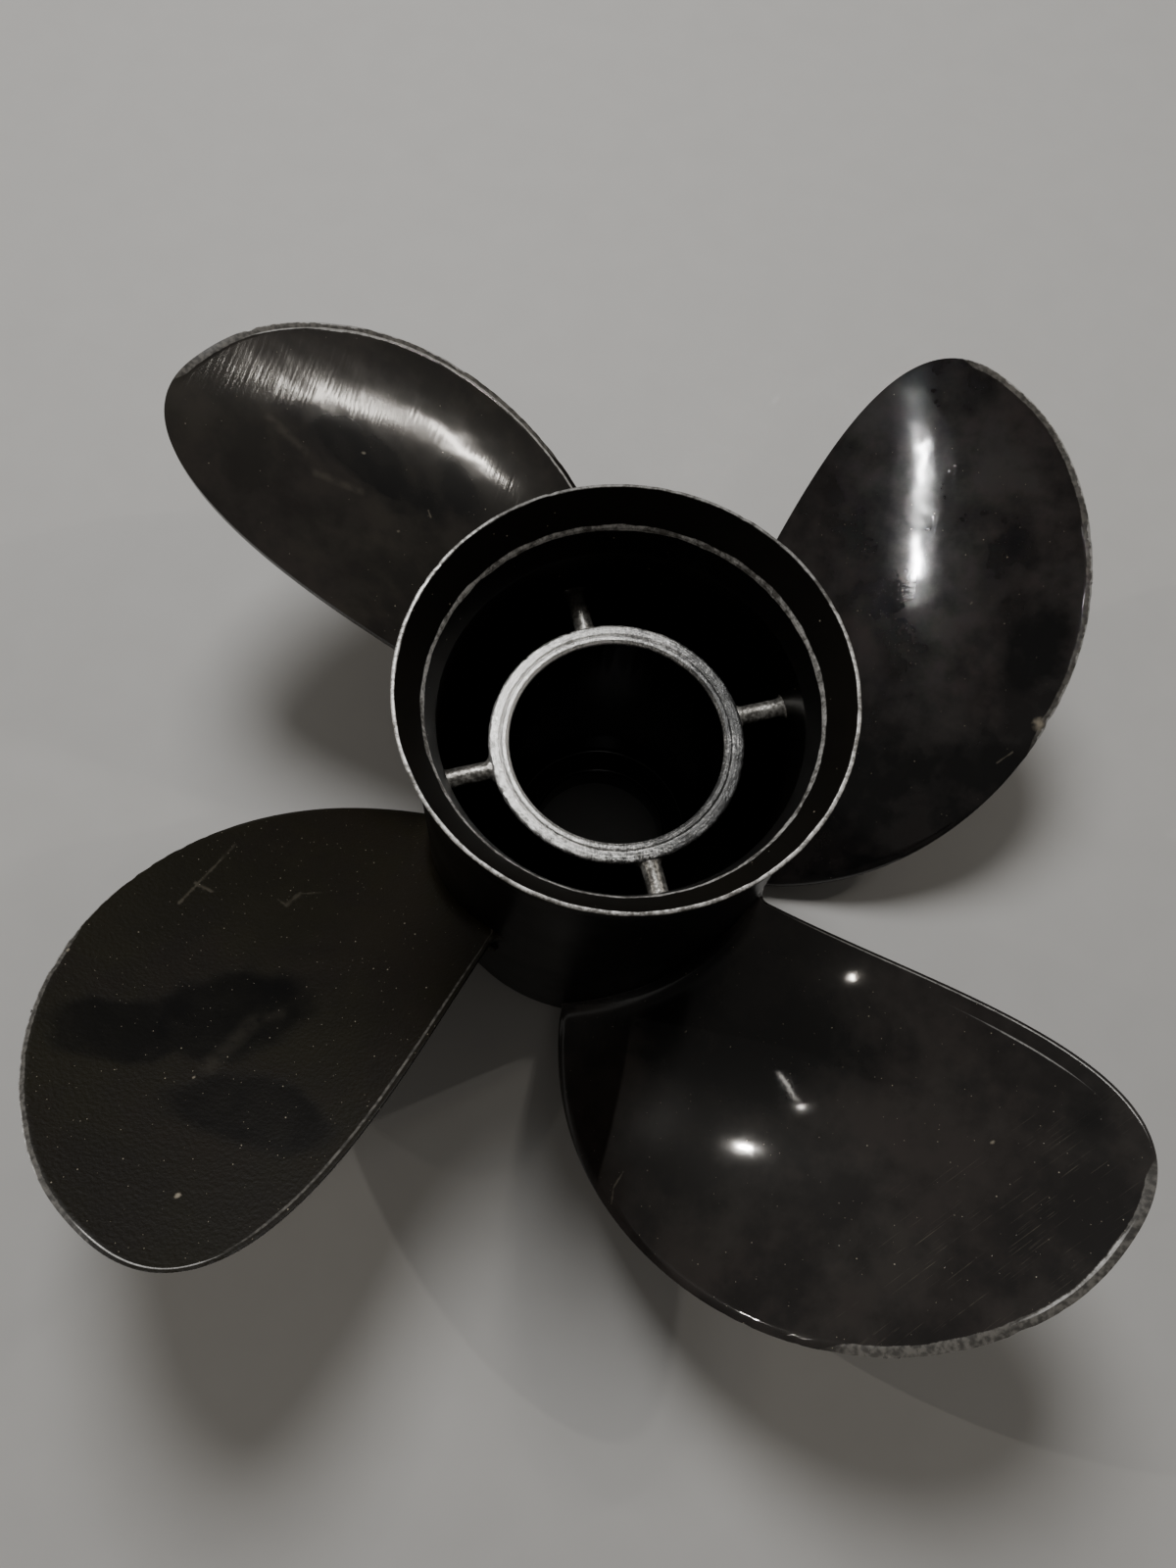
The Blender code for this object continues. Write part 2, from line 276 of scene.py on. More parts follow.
def bump(height, distance):
    """A bumped normal from a height that flows, in metres for a height of 1."""
    inputs = {"Height": height, "Distance": distance, "Strength": 1.0}
    return add_node(height.tree, "ShaderNodeBump", inputs)


def set_surface(material, colour, roughness, metallic, normal, **constants):
    """Connects the shader. What is the same all over goes straight to its socket."""
    tree = material.node_tree
    shader = tree.nodes["Principled BSDF"]
    inputs = {"Base Color": colour, "Roughness": roughness, "Metallic": metallic, "Normal": normal}
    for name, value in (inputs | constants).items():
        if isinstance(value, Flow):
            tree.links.new(value.socket, shader.inputs[name])
        else:
            shader.inputs[name].default_value = value


print("a finish is worked out from the place of a point on the object")

# %% [markdown]
# Bare cast aluminium is a dull light grey, never mirror-like: fine grain scatters the light, small
# lumps stand out on it, and dirt sits in the hollows. Dust on black paint shows as sparse pale
# grains. A Voronoi texture splits space into cells, and a grain is the middle of a cell, kept only
# where the cell's own random number is high.

# %% Metal and dust
METAL_BRIGHT = (0.90, 0.885, 0.85, 1.0)
METAL_LIGHT = (0.60, 0.59, 0.57, 1.0)
METAL_DARK = (0.20, 0.19, 0.175, 1.0)
PAINT_BLACK = (0.0036, 0.0036, 0.0040, 1.0)
FILM_COLOUR = (0.0105, 0.0088, 0.0062, 1.0)
# Pale colour of dust, scratches and chips, also used for a painted reflection streak on the third blade.
DUST_AND_REFLECTION_COLOUR = (0.34, 0.30, 0.23, 1.0)


def metal_colour(place):
    grain = cloud(place, 2600.0, detail=3.0)
    lumps = cloud(place, 420.0, detail=4.0)
    return blend(METAL_DARK, METAL_LIGHT, (grain * 0.45 + lumps * 0.75).step(0.30, 0.78))


def dust(place, cells, radius, share, dimensions="3D"):
    """1 on grains up to this radius, in this share of the cells. In 2D they are seen from above."""
    inputs = {"Vector": place, "Scale": cells}
    distance = add_node(place.tree, "ShaderNodeTexVoronoi", inputs, voronoi_dimensions=dimensions)
    colour = distance.output("Color")
    chosen = colour.x.step(1.0 - share, 1.0 - share + 0.001)
    size = (colour.y * 0.8 + 0.2) * radius * cells
    return (distance / size).step(1.0, 0.7) * chosen


def dusty_paint(film, grains):
    """Black paint under a film of dirt and grains of dust."""
    return blend(blend(PAINT_BLACK, FILM_COLOUR, film), DUST_AND_REFLECTION_COLOUR, grains)


print("dust is", round(DUST_AND_REFLECTION_COLOUR[0] / PAINT_BLACK[0]), "times as bright as the black paint")

# %% [markdown]
# A used blade is not dull or dirty all over: it has patches with soft, uneven borders, stains that
# dried with a pale rim, brush marks and single scratches. Seen from above, a patch or a stain is an
# ellipse whose border is broken up by noise, a scratch is a thin stroke between two points, and
# brush marks are noise drawn out one way.

# %% Patches, stains, strokes and brush marks
def reach(x, y):
    """How far off a point is that lies this far along two square directions."""
    return (x * x + y * y) ** 0.5


def distance_in_plan(place, centre=(0.0, 0.0)):
    return reach(place.x - centre[0], place.y - centre[1])


def turned_plan(place, centre, turn_degrees):
    """How far a point lies along and across a direction, from a centre, seen from above."""
    turn = math.radians(turn_degrees)
    x = place.x - centre[0]
    y = place.y - centre[1]
    along = x * math.cos(turn) + y * math.sin(turn)
    return along, y * math.cos(turn) - x * math.sin(turn)


def patch(place, centre, length, width, turn_degrees, ragged=0.2, soft=0.4):
    """1 inside an ellipse with a ragged, soft border and 0 outside."""
    along, across = turned_plan(place, centre, turn_degrees)
    away = reach(along / (length / 2), across / (width / 2))
    away = away + (cloud(place, 75.0, detail=3.0) - 0.5) * 2.0 * ragged
    return away.step(1.0 + soft / 2, 1.0 - soft / 2)


def stroke(place, start, end, width):
    """1 along a thin uneven line between two points."""
    run = Vector(end) - Vector(start)
    x = place.x - start[0]
    y = place.y - start[1]
    along = (x * (run.x / run.length_squared) + y * (run.y / run.length_squared)).clamped()
    away = reach(x - along * run.x, y - along * run.y)
    sway = cloud(place, 600.0, detail=4.0) - 0.5
    return (away + sway * min(width, 0.0012) * 1.6).step(width * 0.7, 0.0)


def brush_marks(place, turn_degrees, length, width):
    """Noise round 0.5, drawn out into lines that run one way."""
    along, across = turned_plan(place, (0.0, 0.0), turn_degrees)
    return cloud(join_coordinates(along / length, across / width, 0.0), 1.0, detail=1.0)


def scratches(place, turn_degrees, length, width, share):
    """1 on fine straight scratches that run one way."""
    return brush_marks(place, turn_degrees, length, width).step(1.0 - share, 1.0 - share + 0.05)


def strongest(tree, values):
    """The highest of these values, and 0 where there are none."""
    most = add_node(tree, "ShaderNodeValue")
    for value in values:
        most = most.math("MAXIMUM", value)
    return most


print("finishes are made of clouds, dust, patches, strokes and brush marks")

# %% [markdown]
# ## Barrel and flared exhaust ring
#
# The barrel and the ring behind it are one turned shape, so one profile makes both, without the
# hair-thin seam that the two solids keep between them. The profile is a handful of corners, each
# with the radius that rounds it. It could be a Bezier curve, but corners with radii are how such
# a section is drawn in a workshop. The Screw modifier turns it round the shaft.

# %% Rounded profiles, turned round the shaft
ARC_STEPS = 6
TURNED_STEPS = 256
MERGE_DISTANCE = 0.00001


def arc_points(before, corner, after, radius):
    """Points of the arc that rounds one corner of a profile."""
    inward = (before - corner).normalized()
    outward = (after - corner).normalized()
    opening = inward.angle(outward)
    if radius <= 0.0 or opening > math.radians(179.0):
        return [corner]
    cut = radius / math.tan(opening / 2)
    middle = corner + (inward + outward).normalized() * (radius / math.sin(opening / 2))
    start = corner + inward * cut - middle
    end = corner + outward * cut - middle
    sweep = start.angle(end)
    points = []
    for step in range(ARC_STEPS + 1):
        share = step / ARC_STEPS
        away = (start * math.sin((1 - share) * sweep) + end * math.sin(share * sweep)) / math.sin(sweep)
        points.append(middle + away)
    return points


def rounded_profile(corners):
    """A closed profile of (radius, height, rounding) corners as points."""
    points = []
    for index, (radius, height, rounding) in enumerate(corners):
        before = Vector(corners[index - 1][:2])
        after = Vector(corners[(index + 1) % len(corners)][:2])
        points += arc_points(before, Vector((radius, height)), after, rounding)
    return points


def mesh_from(shape, name):
    """The mesh of a bmesh, which is freed."""
    mesh = bpy.data.meshes.new(name)
    shape.to_mesh(mesh)
    shape.free()
    return mesh


def turn_profile(name, corners):
    """A plain mesh turned round Z from a profile that starts down its outer side."""
    shape = bmesh.new()
    points = [shape.verts.new((point.x, 0.0, point.y)) for point in rounded_profile(corners)]
    for start, end in zip(points, points[1:] + points[:1]):
        shape.edges.new((start, end))
    source = add_object(name + "_source", mesh_from(shape, name))
    screw = source.modifiers.new("turn", "SCREW")
    screw.steps = TURNED_STEPS
    screw.render_steps = TURNED_STEPS
    screw.use_merge_vertices = True
    screw.merge_threshold = MERGE_DISTANCE
    screw.use_smooth_shade = True
    return plain_mesh(name, source)


def plain_mesh(name, source):
    """A new object at the origin with the source's evaluated mesh. The source is removed."""
    graph = bpy.context.evaluated_depsgraph_get()
    mesh = bpy.data.meshes.new_from_object(source.evaluated_get(graph), depsgraph=graph)
    mesh.name = name
    bpy.data.objects.remove(source, do_unlink=True)
    return add_object(name, mesh)


def place_piece(piece, slot, *nodes):
    """The piece moves with the one body and stands for these solids, which are hidden. The slot is not
    used.
    """
    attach(piece, "root")
    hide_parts(*nodes)
    print(piece.name, len(piece.data.polygons), "faces, for", ", ".join(nodes))

# %% Sizes of the barrel and the ring
BARREL_FRONT_RADIUS = 0.0540
BARREL_REAR_RADIUS = 0.0527
BARREL_WALL = 0.0063
BARREL_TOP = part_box("barrel")[1].z
RIM_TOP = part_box("exhaust_flare_ring")[1].z
FLARE_OVERHANG = 0.0033
RIM_WIDTH = 0.0010
CONE_DEPTH = 0.0096
CONE_WIDTH = 0.0060
LAND_HEIGHT = 0.0085
RIM_RADIUS = BARREL_REAR_RADIUS + FLARE_OVERHANG
STEP_RADIUS = RIM_RADIUS - RIM_WIDTH - CONE_WIDTH
STEP_TOP = RIM_TOP - CONE_DEPTH
print("rim", round(RIM_RADIUS * 2000, 1), "mm across, step", round(STEP_RADIUS * 2000, 1))

# %% Barrel shape
RIM_WAVE = 0.00012
RIM_KNOCK = 0.0007


def barrel_corners():
    """Radius, height and rounding of each corner, from the rim down outside and up inside."""
    corners = [(RIM_RADIUS, RIM_TOP, 0.0004)]
    for share in (0.8, 0.6, 0.4, 0.2):
        flared = BARREL_REAR_RADIUS + FLARE_OVERHANG * share**2
        corners.append((flared, BARREL_TOP + (RIM_TOP - BARREL_TOP) * share, 0.0))
    return corners + [
        (BARREL_REAR_RADIUS, BARREL_TOP, 0.0),
        (BARREL_FRONT_RADIUS, 0.0, 0.0012),
        (BARREL_FRONT_RADIUS - BARREL_WALL, 0.0, 0.0008),
        (BARREL_REAR_RADIUS - BARREL_WALL, STEP_TOP - LAND_HEIGHT, 0.0040),
        (STEP_RADIUS, STEP_TOP, 0.0007),
        (RIM_RADIUS - RIM_WIDTH, RIM_TOP, 0.0003),
    ]


def roughen_rim(mesh):
    """Small knocks on the rim and the step, as a casting gets in use."""
    for vertex in mesh.vertices:
        if vertex.co.z < STEP_TOP - 0.003:
            continue
        around = Vector((vertex.co.x, vertex.co.y, 0.0)).normalized()
        wave = noise.noise(around * 9.0) * RIM_WAVE
        knock = max(noise.noise(around * 60.0 + Vector((0.0, 0.0, 7.0))) - 0.35, 0.0) * RIM_KNOCK
        vertex.co -= around * (wave + knock * 0.5)
        vertex.co.z -= knock + RIM_WAVE


barrel = turn_profile("barrel_casting", barrel_corners())
roughen_rim(barrel.data)
print("barrel casting:", len(barrel.data.vertices), "points")

# %% [markdown]
# The paint of the barrel is worn through along two rings, the rim and the step inside it. Both are
# circles, so the distance from the bare line follows from the radius and the height of a point,
# and noise makes the bare line wide in one place and thin in the next. The cone between the two
# rings is made a little lighter than the rest.

# %% Barrel paint
BARREL_MIRROR = 0.12
BARREL_RELIEF = 0.00012


def ring_wear(place, radius, height, wear):
    """1 on a ring round the shaft, as wide as it is worn, and 0 elsewhere."""
    away = reach(distance_in_plan(place) - radius, place.z - height)
    width = (cloud(place, 150.0, detail=5.0) - 0.5) * (wear * 1.6) + wear
    return (away - width).step(0.00015, -0.00015)


def barrel_paint():
    material, place = start_finish("barrel_paint")
    behind = place.y.step(0.015, 0.045)
    rim = ring_wear(place, RIM_RADIUS - RIM_WIDTH / 2, RIM_TOP - 0.0001, 0.00055) * (1.0 - behind * 0.65)
    step = ring_wear(place, STEP_RADIUS + 0.0001, STEP_TOP - 0.0001, 0.00085)
    bare = rim.math("MAXIMUM", step)
    inside = distance_in_plan(place).step(STEP_RADIUS + 0.001, STEP_RADIUS - 0.001)
    cone = place.z.step(STEP_TOP - 0.004, STEP_TOP + 0.002) * (1.0 - inside)
    grains = dust(place, 300.0, 0.00030, 0.5)
    # The cone gets more of the lighter film, which makes it lighter than the rest.
    film = cloud(place, 38.0, detail=5.0).step(0.35, 0.8) * 0.30 + inside * 0.2 + cone * 0.5
    grain = cloud(place, 700.0, detail=5.0, roughness=0.7) * 0.6 + cloud(place, 160.0, detail=3.0) * 0.4
    metal = blend(METAL_DARK, METAL_BRIGHT, grain.step(0.40, 0.60))
    colour = blend(dusty_paint(film, grains), metal, bare)
    roughness = blend(film * 0.3 + 0.28, 0.40, bare)
    peel = cloud(place, 520.0, detail=2.0) * 0.04 + cloud(place, 90.0, detail=2.0) * 0.2
    height = peel - bare * 0.4 + grains + bare * cloud(place, 1500.0) * 0.4
    mirror = {"Specular IOR Level": BARREL_MIRROR}
    set_surface(material, colour, roughness, bare * 0.4, bump(height, BARREL_RELIEF), **mirror)
    return material


barrel.data.materials.append(barrel_paint())
place_piece(barrel, "barrel_paint", "barrel", "exhaust_flare_ring")

# %% [markdown]
# ## Inner hub
#
# The inner tube carries the propeller on its shaft. Its end was cut in a lathe and left bare: the
# tool leaves fine rings, the outer corner is broken by small lumps of the casting skin, and a
# shallow groove runs round the middle. Fine pale specks of torn grains on the cut have a painted
# glint in their colour, and the cut is painted lighter on the left and darker on the right, as the
# lamp lights it. The ledge deep inside belongs to the same profile.

# %% Sizes of the hub
HUB_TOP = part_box("inner_hub")[1].z
HUB_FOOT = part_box("inner_hub")[0].z
HUB_FRONT_RADIUS = 0.0330
HUB_REAR_RADIUS = 0.0339
HUB_BORE_RADIUS = 0.0284
LEDGE_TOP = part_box("thrust_seat_ring")[1].z
LEDGE_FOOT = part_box("thrust_seat_ring")[0].z
LEDGE_BORE_RADIUS = 0.0207
print("hub from", round(HUB_FOOT * 1000, 1), "to", round(HUB_TOP * 1000, 1), "mm")

# %% Hub shape
def hub_corners():
    """Corners from the cut end down outside and up the bore, with the groove last."""
    groove = HUB_BORE_RADIUS + (HUB_REAR_RADIUS - HUB_BORE_RADIUS) * 0.42
    return [
        (HUB_REAR_RADIUS, HUB_TOP, 0.0008),
        (HUB_FRONT_RADIUS, HUB_FOOT, 0.0006),
        (HUB_BORE_RADIUS, HUB_FOOT, 0.0006),
        (HUB_BORE_RADIUS, LEDGE_FOOT, 0.0004),
        (LEDGE_BORE_RADIUS, LEDGE_FOOT, 0.0008),
        (LEDGE_BORE_RADIUS, LEDGE_TOP, 0.0010),
        (HUB_BORE_RADIUS, LEDGE_TOP, 0.0012),
        (HUB_BORE_RADIUS, HUB_TOP - 0.0006, 0.0004),
        (HUB_BORE_RADIUS + 0.0009, HUB_TOP, 0.0003),
        (groove - 0.0006, HUB_TOP, 0.0001),
        (groove, HUB_TOP - 0.00022, 0.0001),
        (groove + 0.0006, HUB_TOP, 0.0001),
    ]


def roughen_mouth(mesh):
    """Uneven metal on the hub's cut end, most of it at the outer corner."""
    for vertex in mesh.vertices:
        if vertex.co.z < HUB_TOP - 0.004:
            continue
        around = Vector((vertex.co.x, vertex.co.y, 0.0))
        radius = around.length
        outer = max((radius - HUB_BORE_RADIUS) / (HUB_REAR_RADIUS - HUB_BORE_RADIUS), 0.0)
        lumps = noise.fractal(vertex.co * 700.0, 0.8, 2.0, 3)
        sway = noise.noise(vertex.co * 110.0)
        vertex.co -= around.normalized() * abs(lumps) * (0.00008 + 0.00030 * outer)
        vertex.co.z -= 0.00006 + abs(lumps) * (0.00008 + 0.00016 * outer) + abs(sway) * 0.00006


hub = turn_profile("hub_casting", hub_corners())
roughen_mouth(hub.data)
print("hub casting:", len(hub.data.vertices), "points")

# %% Hub finish
# Dark end of the cut metal: stains, and also the painted shade on the right side of the cut.
METAL_STAINED_AND_SHADED = (0.10, 0.10, 0.098, 1.0)
CUT_RELIEF = 0.00022
WALL_RELIEF = 0.00001


def hub_finish():
    """Bare metal on the cut end, thin glossy paint on the walls."""
    material, place = start_finish("hub_metal")
    ragged = (cloud(place, 420.0, detail=4.0) - 0.5) * 0.0014
    bare = (place.z + ragged).step(HUB_TOP - 0.0015, HUB_TOP - 0.0009)
    wobble = cloud(place, 55.0, detail=3.0) * 0.0016
    inputs = {"W": (distance_in_plan(place) + wobble) * 2200.0, "Scale": 1.0, "Detail": 2.0}
    rings = add_node(place.tree, "ShaderNodeTexNoise", inputs, noise_dimensions="1D")
    torn = cloud(place, 850.0, detail=4.0, roughness=0.7, warp=1.0)
    blotches = cloud(place, 85.0, detail=4.0, roughness=0.6)
    sparkle = cloud(place, 1500.0, detail=3.0, roughness=0.7).step(0.42, 0.60)
    hatch = brush_marks(place, 100.0, 0.005, 0.0004)
    shade = rings * 0.14 + torn * 0.30 + blotches * 0.50 + hatch * 0.15
    # Painted light: the term in place.x paints the cut lighter on the left and darker on the right, and
    # the sparkle specks add painted glints.
    shade = shade + sparkle * 0.12 - place.x * 7.5
    metal = blend(METAL_STAINED_AND_SHADED, METAL_BRIGHT, shade.step(0.43, 0.77))
    film = cloud(place, 60.0, detail=4.0).step(0.4, 0.9) * 0.5
    colour = blend(dusty_paint(film, dust(place, 260.0, 0.00030, 0.4)), metal, bare)
    roughness = blend(0.18, blotches * 0.3 + 0.16, bare)
    rough_metal = bump(rings * 0.15 + torn * 0.7 + sparkle * 0.1 + hatch * 0.2, CUT_RELIEF)
    smooth_paint = bump(cloud(place, 300.0, detail=2.0), WALL_RELIEF)
    set_surface(material, colour, roughness, bare * 0.7, blend(smooth_paint, rough_metal, bare))
    return material


hub.data.materials.append(hub_finish())
place_piece(hub, "hub_metal", "inner_hub", "thrust_seat_ring")

# %% [markdown]
# ## Ribs, with Geometry Nodes
#
# Four thin webs carry the hub inside the barrel. They are alike and a quarter turn apart, so one
# web is modelled and a node tree repeats it. The web itself follows a rule too: its section is a
# slot with round ends, and it swells at both ends into the fillets of the casting. So the tree
# starts from a cylinder that lies from hub to barrel and gives each of its points a new place.

# %% Helpers for trees of shapes
def start_rule(name, sizes):
    """A Geometry Nodes tree with named inputs for its sizes and its material, and their flows."""
    tree = bpy.data.node_groups.new(name, "GeometryNodeTree")
    for label, value in ({"Geometry": None, "Material": None} | sizes).items():
        kind = "NodeSocket" + {int: "Int", float: "Float"}.get(type(value), label)
        socket = tree.interface.new_socket(label, in_out="INPUT", socket_type=kind)
        if value is not None:
            socket.default_value = value
    tree.interface.new_socket("Geometry", in_out="OUTPUT", socket_type="NodeSocketGeometry")
    source = tree.nodes.new("NodeGroupInput")
    flows = {socket.name: Flow(tree, socket) for socket in source.outputs if socket.name}
    return tree, flows


def end_rule(tree, geometry, material):
    """Makes the instances real, sets the material and ends the tree."""
    real = add_node(tree, "GeometryNodeRealizeInstances", {"Geometry": geometry})
    painted = add_node(tree, "GeometryNodeSetMaterial", {"Geometry": real, "Material": material})
    end = tree.nodes.new("NodeGroupOutput")
    tree.links.new(painted.socket, end.inputs[0])
    print("rule", tree.name, "has", len(tree.nodes), "nodes")


def follow_rule(source, tree, values):
    """Gives the source a modifier with this tree and these values for its named inputs."""
    modifier = source.modifiers.new("rule", "NODES")
    modifier.node_group = tree
    for item in tree.interface.items_tree:
        if item.in_out == "INPUT" and item.name in values:
            modifier[item.identifier] = values[item.name]

# %% The rule of the ribs
RIB_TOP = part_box("rib_1")[1].z
RIB_SINK = 0.0008
RIB_SIZES = {
    "Count": 4,
    "First Angle": math.radians(25.4),
    "Thickness": 0.0058,
    "Fillet": 0.0013,
    "Hub End": HUB_REAR_RADIUS - RIB_SINK,
    "Barrel End": BARREL_REAR_RADIUS - BARREL_WALL + RIB_SINK,
    "Top": RIB_TOP,
    "Foot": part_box("rib_1")[0].z,
}


def rib_rule():
    tree, flow = start_rule("ribs", RIB_SIZES)
    blank = add_node(tree, "GeometryNodeMeshCylinder",
                     {"Vertices": 64, "Side Segments": 40, "Radius": 1.0, "Depth": 1.0})
    place = add_node(tree, "GeometryNodeInputPosition")
    share = place.z + 0.5
    length = flow["Barrel End"] - flow["Hub End"]
    near_end = (share - 0.5).math("ABSOLUTE") * 2.0
    to_end = (1.0 - near_end) * length * 0.5 - RIB_SINK
    swell = (1.0 - (to_end / flow["Fillet"])).math("MAXIMUM", 0.0) ** 2.0 * flow["Fillet"] * 0.8
    uneven = add_node(tree, "ShaderNodeTexNoise", {"Vector": place, "Scale": 2.2, "Detail": 2.0})
    half = flow["Thickness"] * 0.5 + swell + (uneven - 0.5) * 0.0005
    across = place.x * half
    straight = (flow["Top"] - flow["Foot"]) * 0.5 - flow["Thickness"] * 0.5
    lift = place.y.math("SIGN") * straight
    middle = (flow["Top"] + flow["Foot"]) * 0.5
    up = place.y * (flow["Thickness"] * 0.5) + lift + middle
    out = flow["Hub End"] + share * length
    placed = add_node(tree, "GeometryNodeSetPosition",
                      {"Geometry": blank, "Position": join_coordinates(out, across, up)})
    smooth = add_node(tree, "GeometryNodeSetShadeSmooth", [placed])
    points = add_node(tree, "GeometryNodePoints", {"Count": flow["Count"]})
    number = add_node(tree, "GeometryNodeInputIndex")
    angle = flow["First Angle"] + number * math.tau / flow["Count"]
    turn = add_node(tree, "FunctionNodeEulerToRotation", [join_coordinates(0.0, 0.0, angle)])
    ring = add_node(tree, "GeometryNodeInstanceOnPoints",
                    {"Points": points, "Instance": smooth, "Rotation": turn})
    end_rule(tree, ring, flow["Material"])
    return tree

# %% Rib finish
RIB_METAL_DARK = (0.16, 0.15, 0.135, 1.0)
RIB_METAL_LIGHT = (0.70, 0.68, 0.63, 1.0)
RIB_RELIEF = 0.00012


def rib_finish():
    """Dull grainy metal on the aft edge and dark paint on the flanks. Behind, near the barrel wall, the
    bare edge is darkened as painted shade.
    """
    material, place = start_finish("rib_metal")
    ragged = (cloud(place, 500.0, detail=4.0) - 0.5) * 0.0012
    bare = (place.z + ragged).step(RIB_TOP - 0.0020, RIB_TOP - 0.0004)
    # Painted shade: on the far side, near the barrel wall, the bare edge is made dark where the fillet
    # lies in shadow.
    painted_shade_at_wall = distance_in_plan(place).step(0.0385, 0.0415) * place.y.step(0.02, 0.03)
    bare = bare * (1.0 - painted_shade_at_wall * 0.9)
    shade = cloud(place, 1100.0, detail=4.0) * 0.5 + cloud(place, 260.0, detail=3.0) * 0.5
    metal = blend(RIB_METAL_DARK, RIB_METAL_LIGHT, shade.step(0.38, 0.66))
    painted = blend(PAINT_BLACK, FILM_COLOUR, cloud(place, 90.0, detail=4.0).step(0.4, 0.8) * 0.6)
    colour = blend(painted, metal, bare)
    normal = bump(cloud(place, 1100.0, detail=4.0), RIB_RELIEF)
    set_surface(material, colour, blend(0.36, 0.34, bare), bare * 0.7, normal)
    return material

# %% Make the ribs
def make_ribs():
    source = add_object("ribs_source", bpy.data.meshes.new("empty"))
    follow_rule(source, rib_rule(), {"Material": rib_finish()})
    return plain_mesh("rib_castings", source)


place_piece(make_ribs(), "hub_metal", *[f"rib_{number + 1}" for number in range(RIB_SIZES["Count"])])

# %% [markdown]
# ## Blades, with Geometry Nodes
#
# A propeller blade is a screw surface: as a point goes round the shaft it also climbs along it. How
# far it climbs in a whole turn is the lead, which grows from the barrel to the tip, and rake leans
# the blade aft. The outline is drawn flat, as seen along the shaft, by a spline. Between the
# outline and the barrel a grid of points is spread, and this flat sheet is all that Python makes.
#
# A node tree then does what follows a rule: it lifts the sheet onto the screw surface, adds the
# fillet at the barrel, gives the blade its thickness and rounds its leading edge.

# %% Sizes of a blade
BLADE_COUNT = 4
TIP_RADIUS = 0.1743
BLADE_SIZES = {
    "Barrel Radius": BARREL_FRONT_RADIUS,
    "Barrel Taper": (BARREL_FRONT_RADIUS - BARREL_REAR_RADIUS) / BARREL_TOP,
    "Tip Radius": TIP_RADIUS,
    "Front Clearance": 0.0059,
    "Lead At Hub": 0.341,
    "Lead At Tip": 0.427,
    "Straight Rake": 0.0056,
    "Curved Rake": 0.0328,
    "Camber": -0.068,
    "Root Thickness": 0.0115,
    "Tip Thickness": 0.0040,
    "Leading Thickness": 0.0020,
    "Trailing Thickness": 0.0026,
    "Fillet": 0.0070,
    "Edge Fillet": 0.0035,
    "Trailing Height": 0.065,
    "Middle X": 0.087,
    "Middle Y": 0.059,
    "Nose Width": 0.0026,
    "Nose Drop": 0.0007,
    "Nose End": 0.70,
}

# What may differ from blade to blade
BLADE_WEAR = {
    "Turn": 0.0, "Seed": 0.0, "Waves": 0.00012,
    "Nick Start": 0.25, "Nick End": 0.55, "Nick Depth": 0.0004,
    "Bite X": 0.0, "Bite Y": 0.0, "Bite Radius": 0.003, "Bite Depth": 0.0,
    "Dent X": 0.0, "Dent Y": 0.0, "Dent Radius": 0.010, "Dent Depth": 0.0,
}

# Control points from the leading edge at the root, over the tip, to the trailing edge at the
# root, as share of the span and degrees round the shaft
OUTLINE = [
    (-0.017, 0.0),
    (0.045, -1.2),
    (0.400, 5.8),
    (0.884, 28.4),
    (1.007, 46.3),
    (1.001, 54.9),
    (0.935, 68.6),
    (0.354, 69.4),
    (-0.017, 64.9),
]
OUTLINE_DEGREE = 3
LEADING_END = 0.40
TRAILING_START = 0.66
CHORD_STEPS = 64
SPAN_STEPS = 200
print("diameter", round(TIP_RADIUS * 2000), "mm, with", len(BLADE_SIZES), "sizes of a blade")

# %% The flat outline
def between(low, high, share):
    return low + (high - low) * share


def outline_at(place):
    """Plan point of the outline at a place from 0 to 1, by de Boor's rule."""
    spans = len(OUTLINE) - OUTLINE_DEGREE
    ends = OUTLINE_DEGREE + 1
    knots = [0.0] * ends + [step / spans for step in range(1, spans)] + [1.0] * ends
    place = min(max(place, 0.0), 1.0 - 1e-9)
    span = max(index for index in range(OUTLINE_DEGREE, len(OUTLINE)) if knots[index] <= place)
    first = span - OUTLINE_DEGREE
    points = [Vector(OUTLINE[first + step]) for step in range(ends)]
    for level in range(1, ends):
        for step in range(OUTLINE_DEGREE, level - 1, -1):
            low = knots[first + step]
            high = knots[span + 1 + step - level]
            points[step] = points[step - 1].lerp(points[step], (place - low) / (high - low))
    share, degrees = points[OUTLINE_DEGREE]
    return plan_point(between(BARREL_FRONT_RADIUS, TIP_RADIUS, share), math.radians(degrees))


def plan_point(radius, angle):
    return Vector((radius * math.cos(angle), radius * math.sin(angle)))


print("outline at the tip", [round(value, 4) for value in outline_at(0.5)])

# %% [markdown]
# The sheet is a grid. Its rows run along the chord and are close together at the root, for the
# fillet, and at the tip, and its columns are close together at both edges, for the rounded nose.
# Each point carries a few numbers as named attributes: how far along chord and span it lies,
# whether it is on the outline, and which place of the outline is next to it. The node tree and the
# paint both read them.

# %% The flat sheet
def row_share(row):
    share = row / SPAN_STEPS
    return 0.2 * share + 0.1 * share**2 + 0.7 * (3 * share**2 - 2 * share**3)


def column_share(column):
    share = column / CHORD_STEPS
    return share - 0.7 * math.sin(math.tau * share) / math.tau


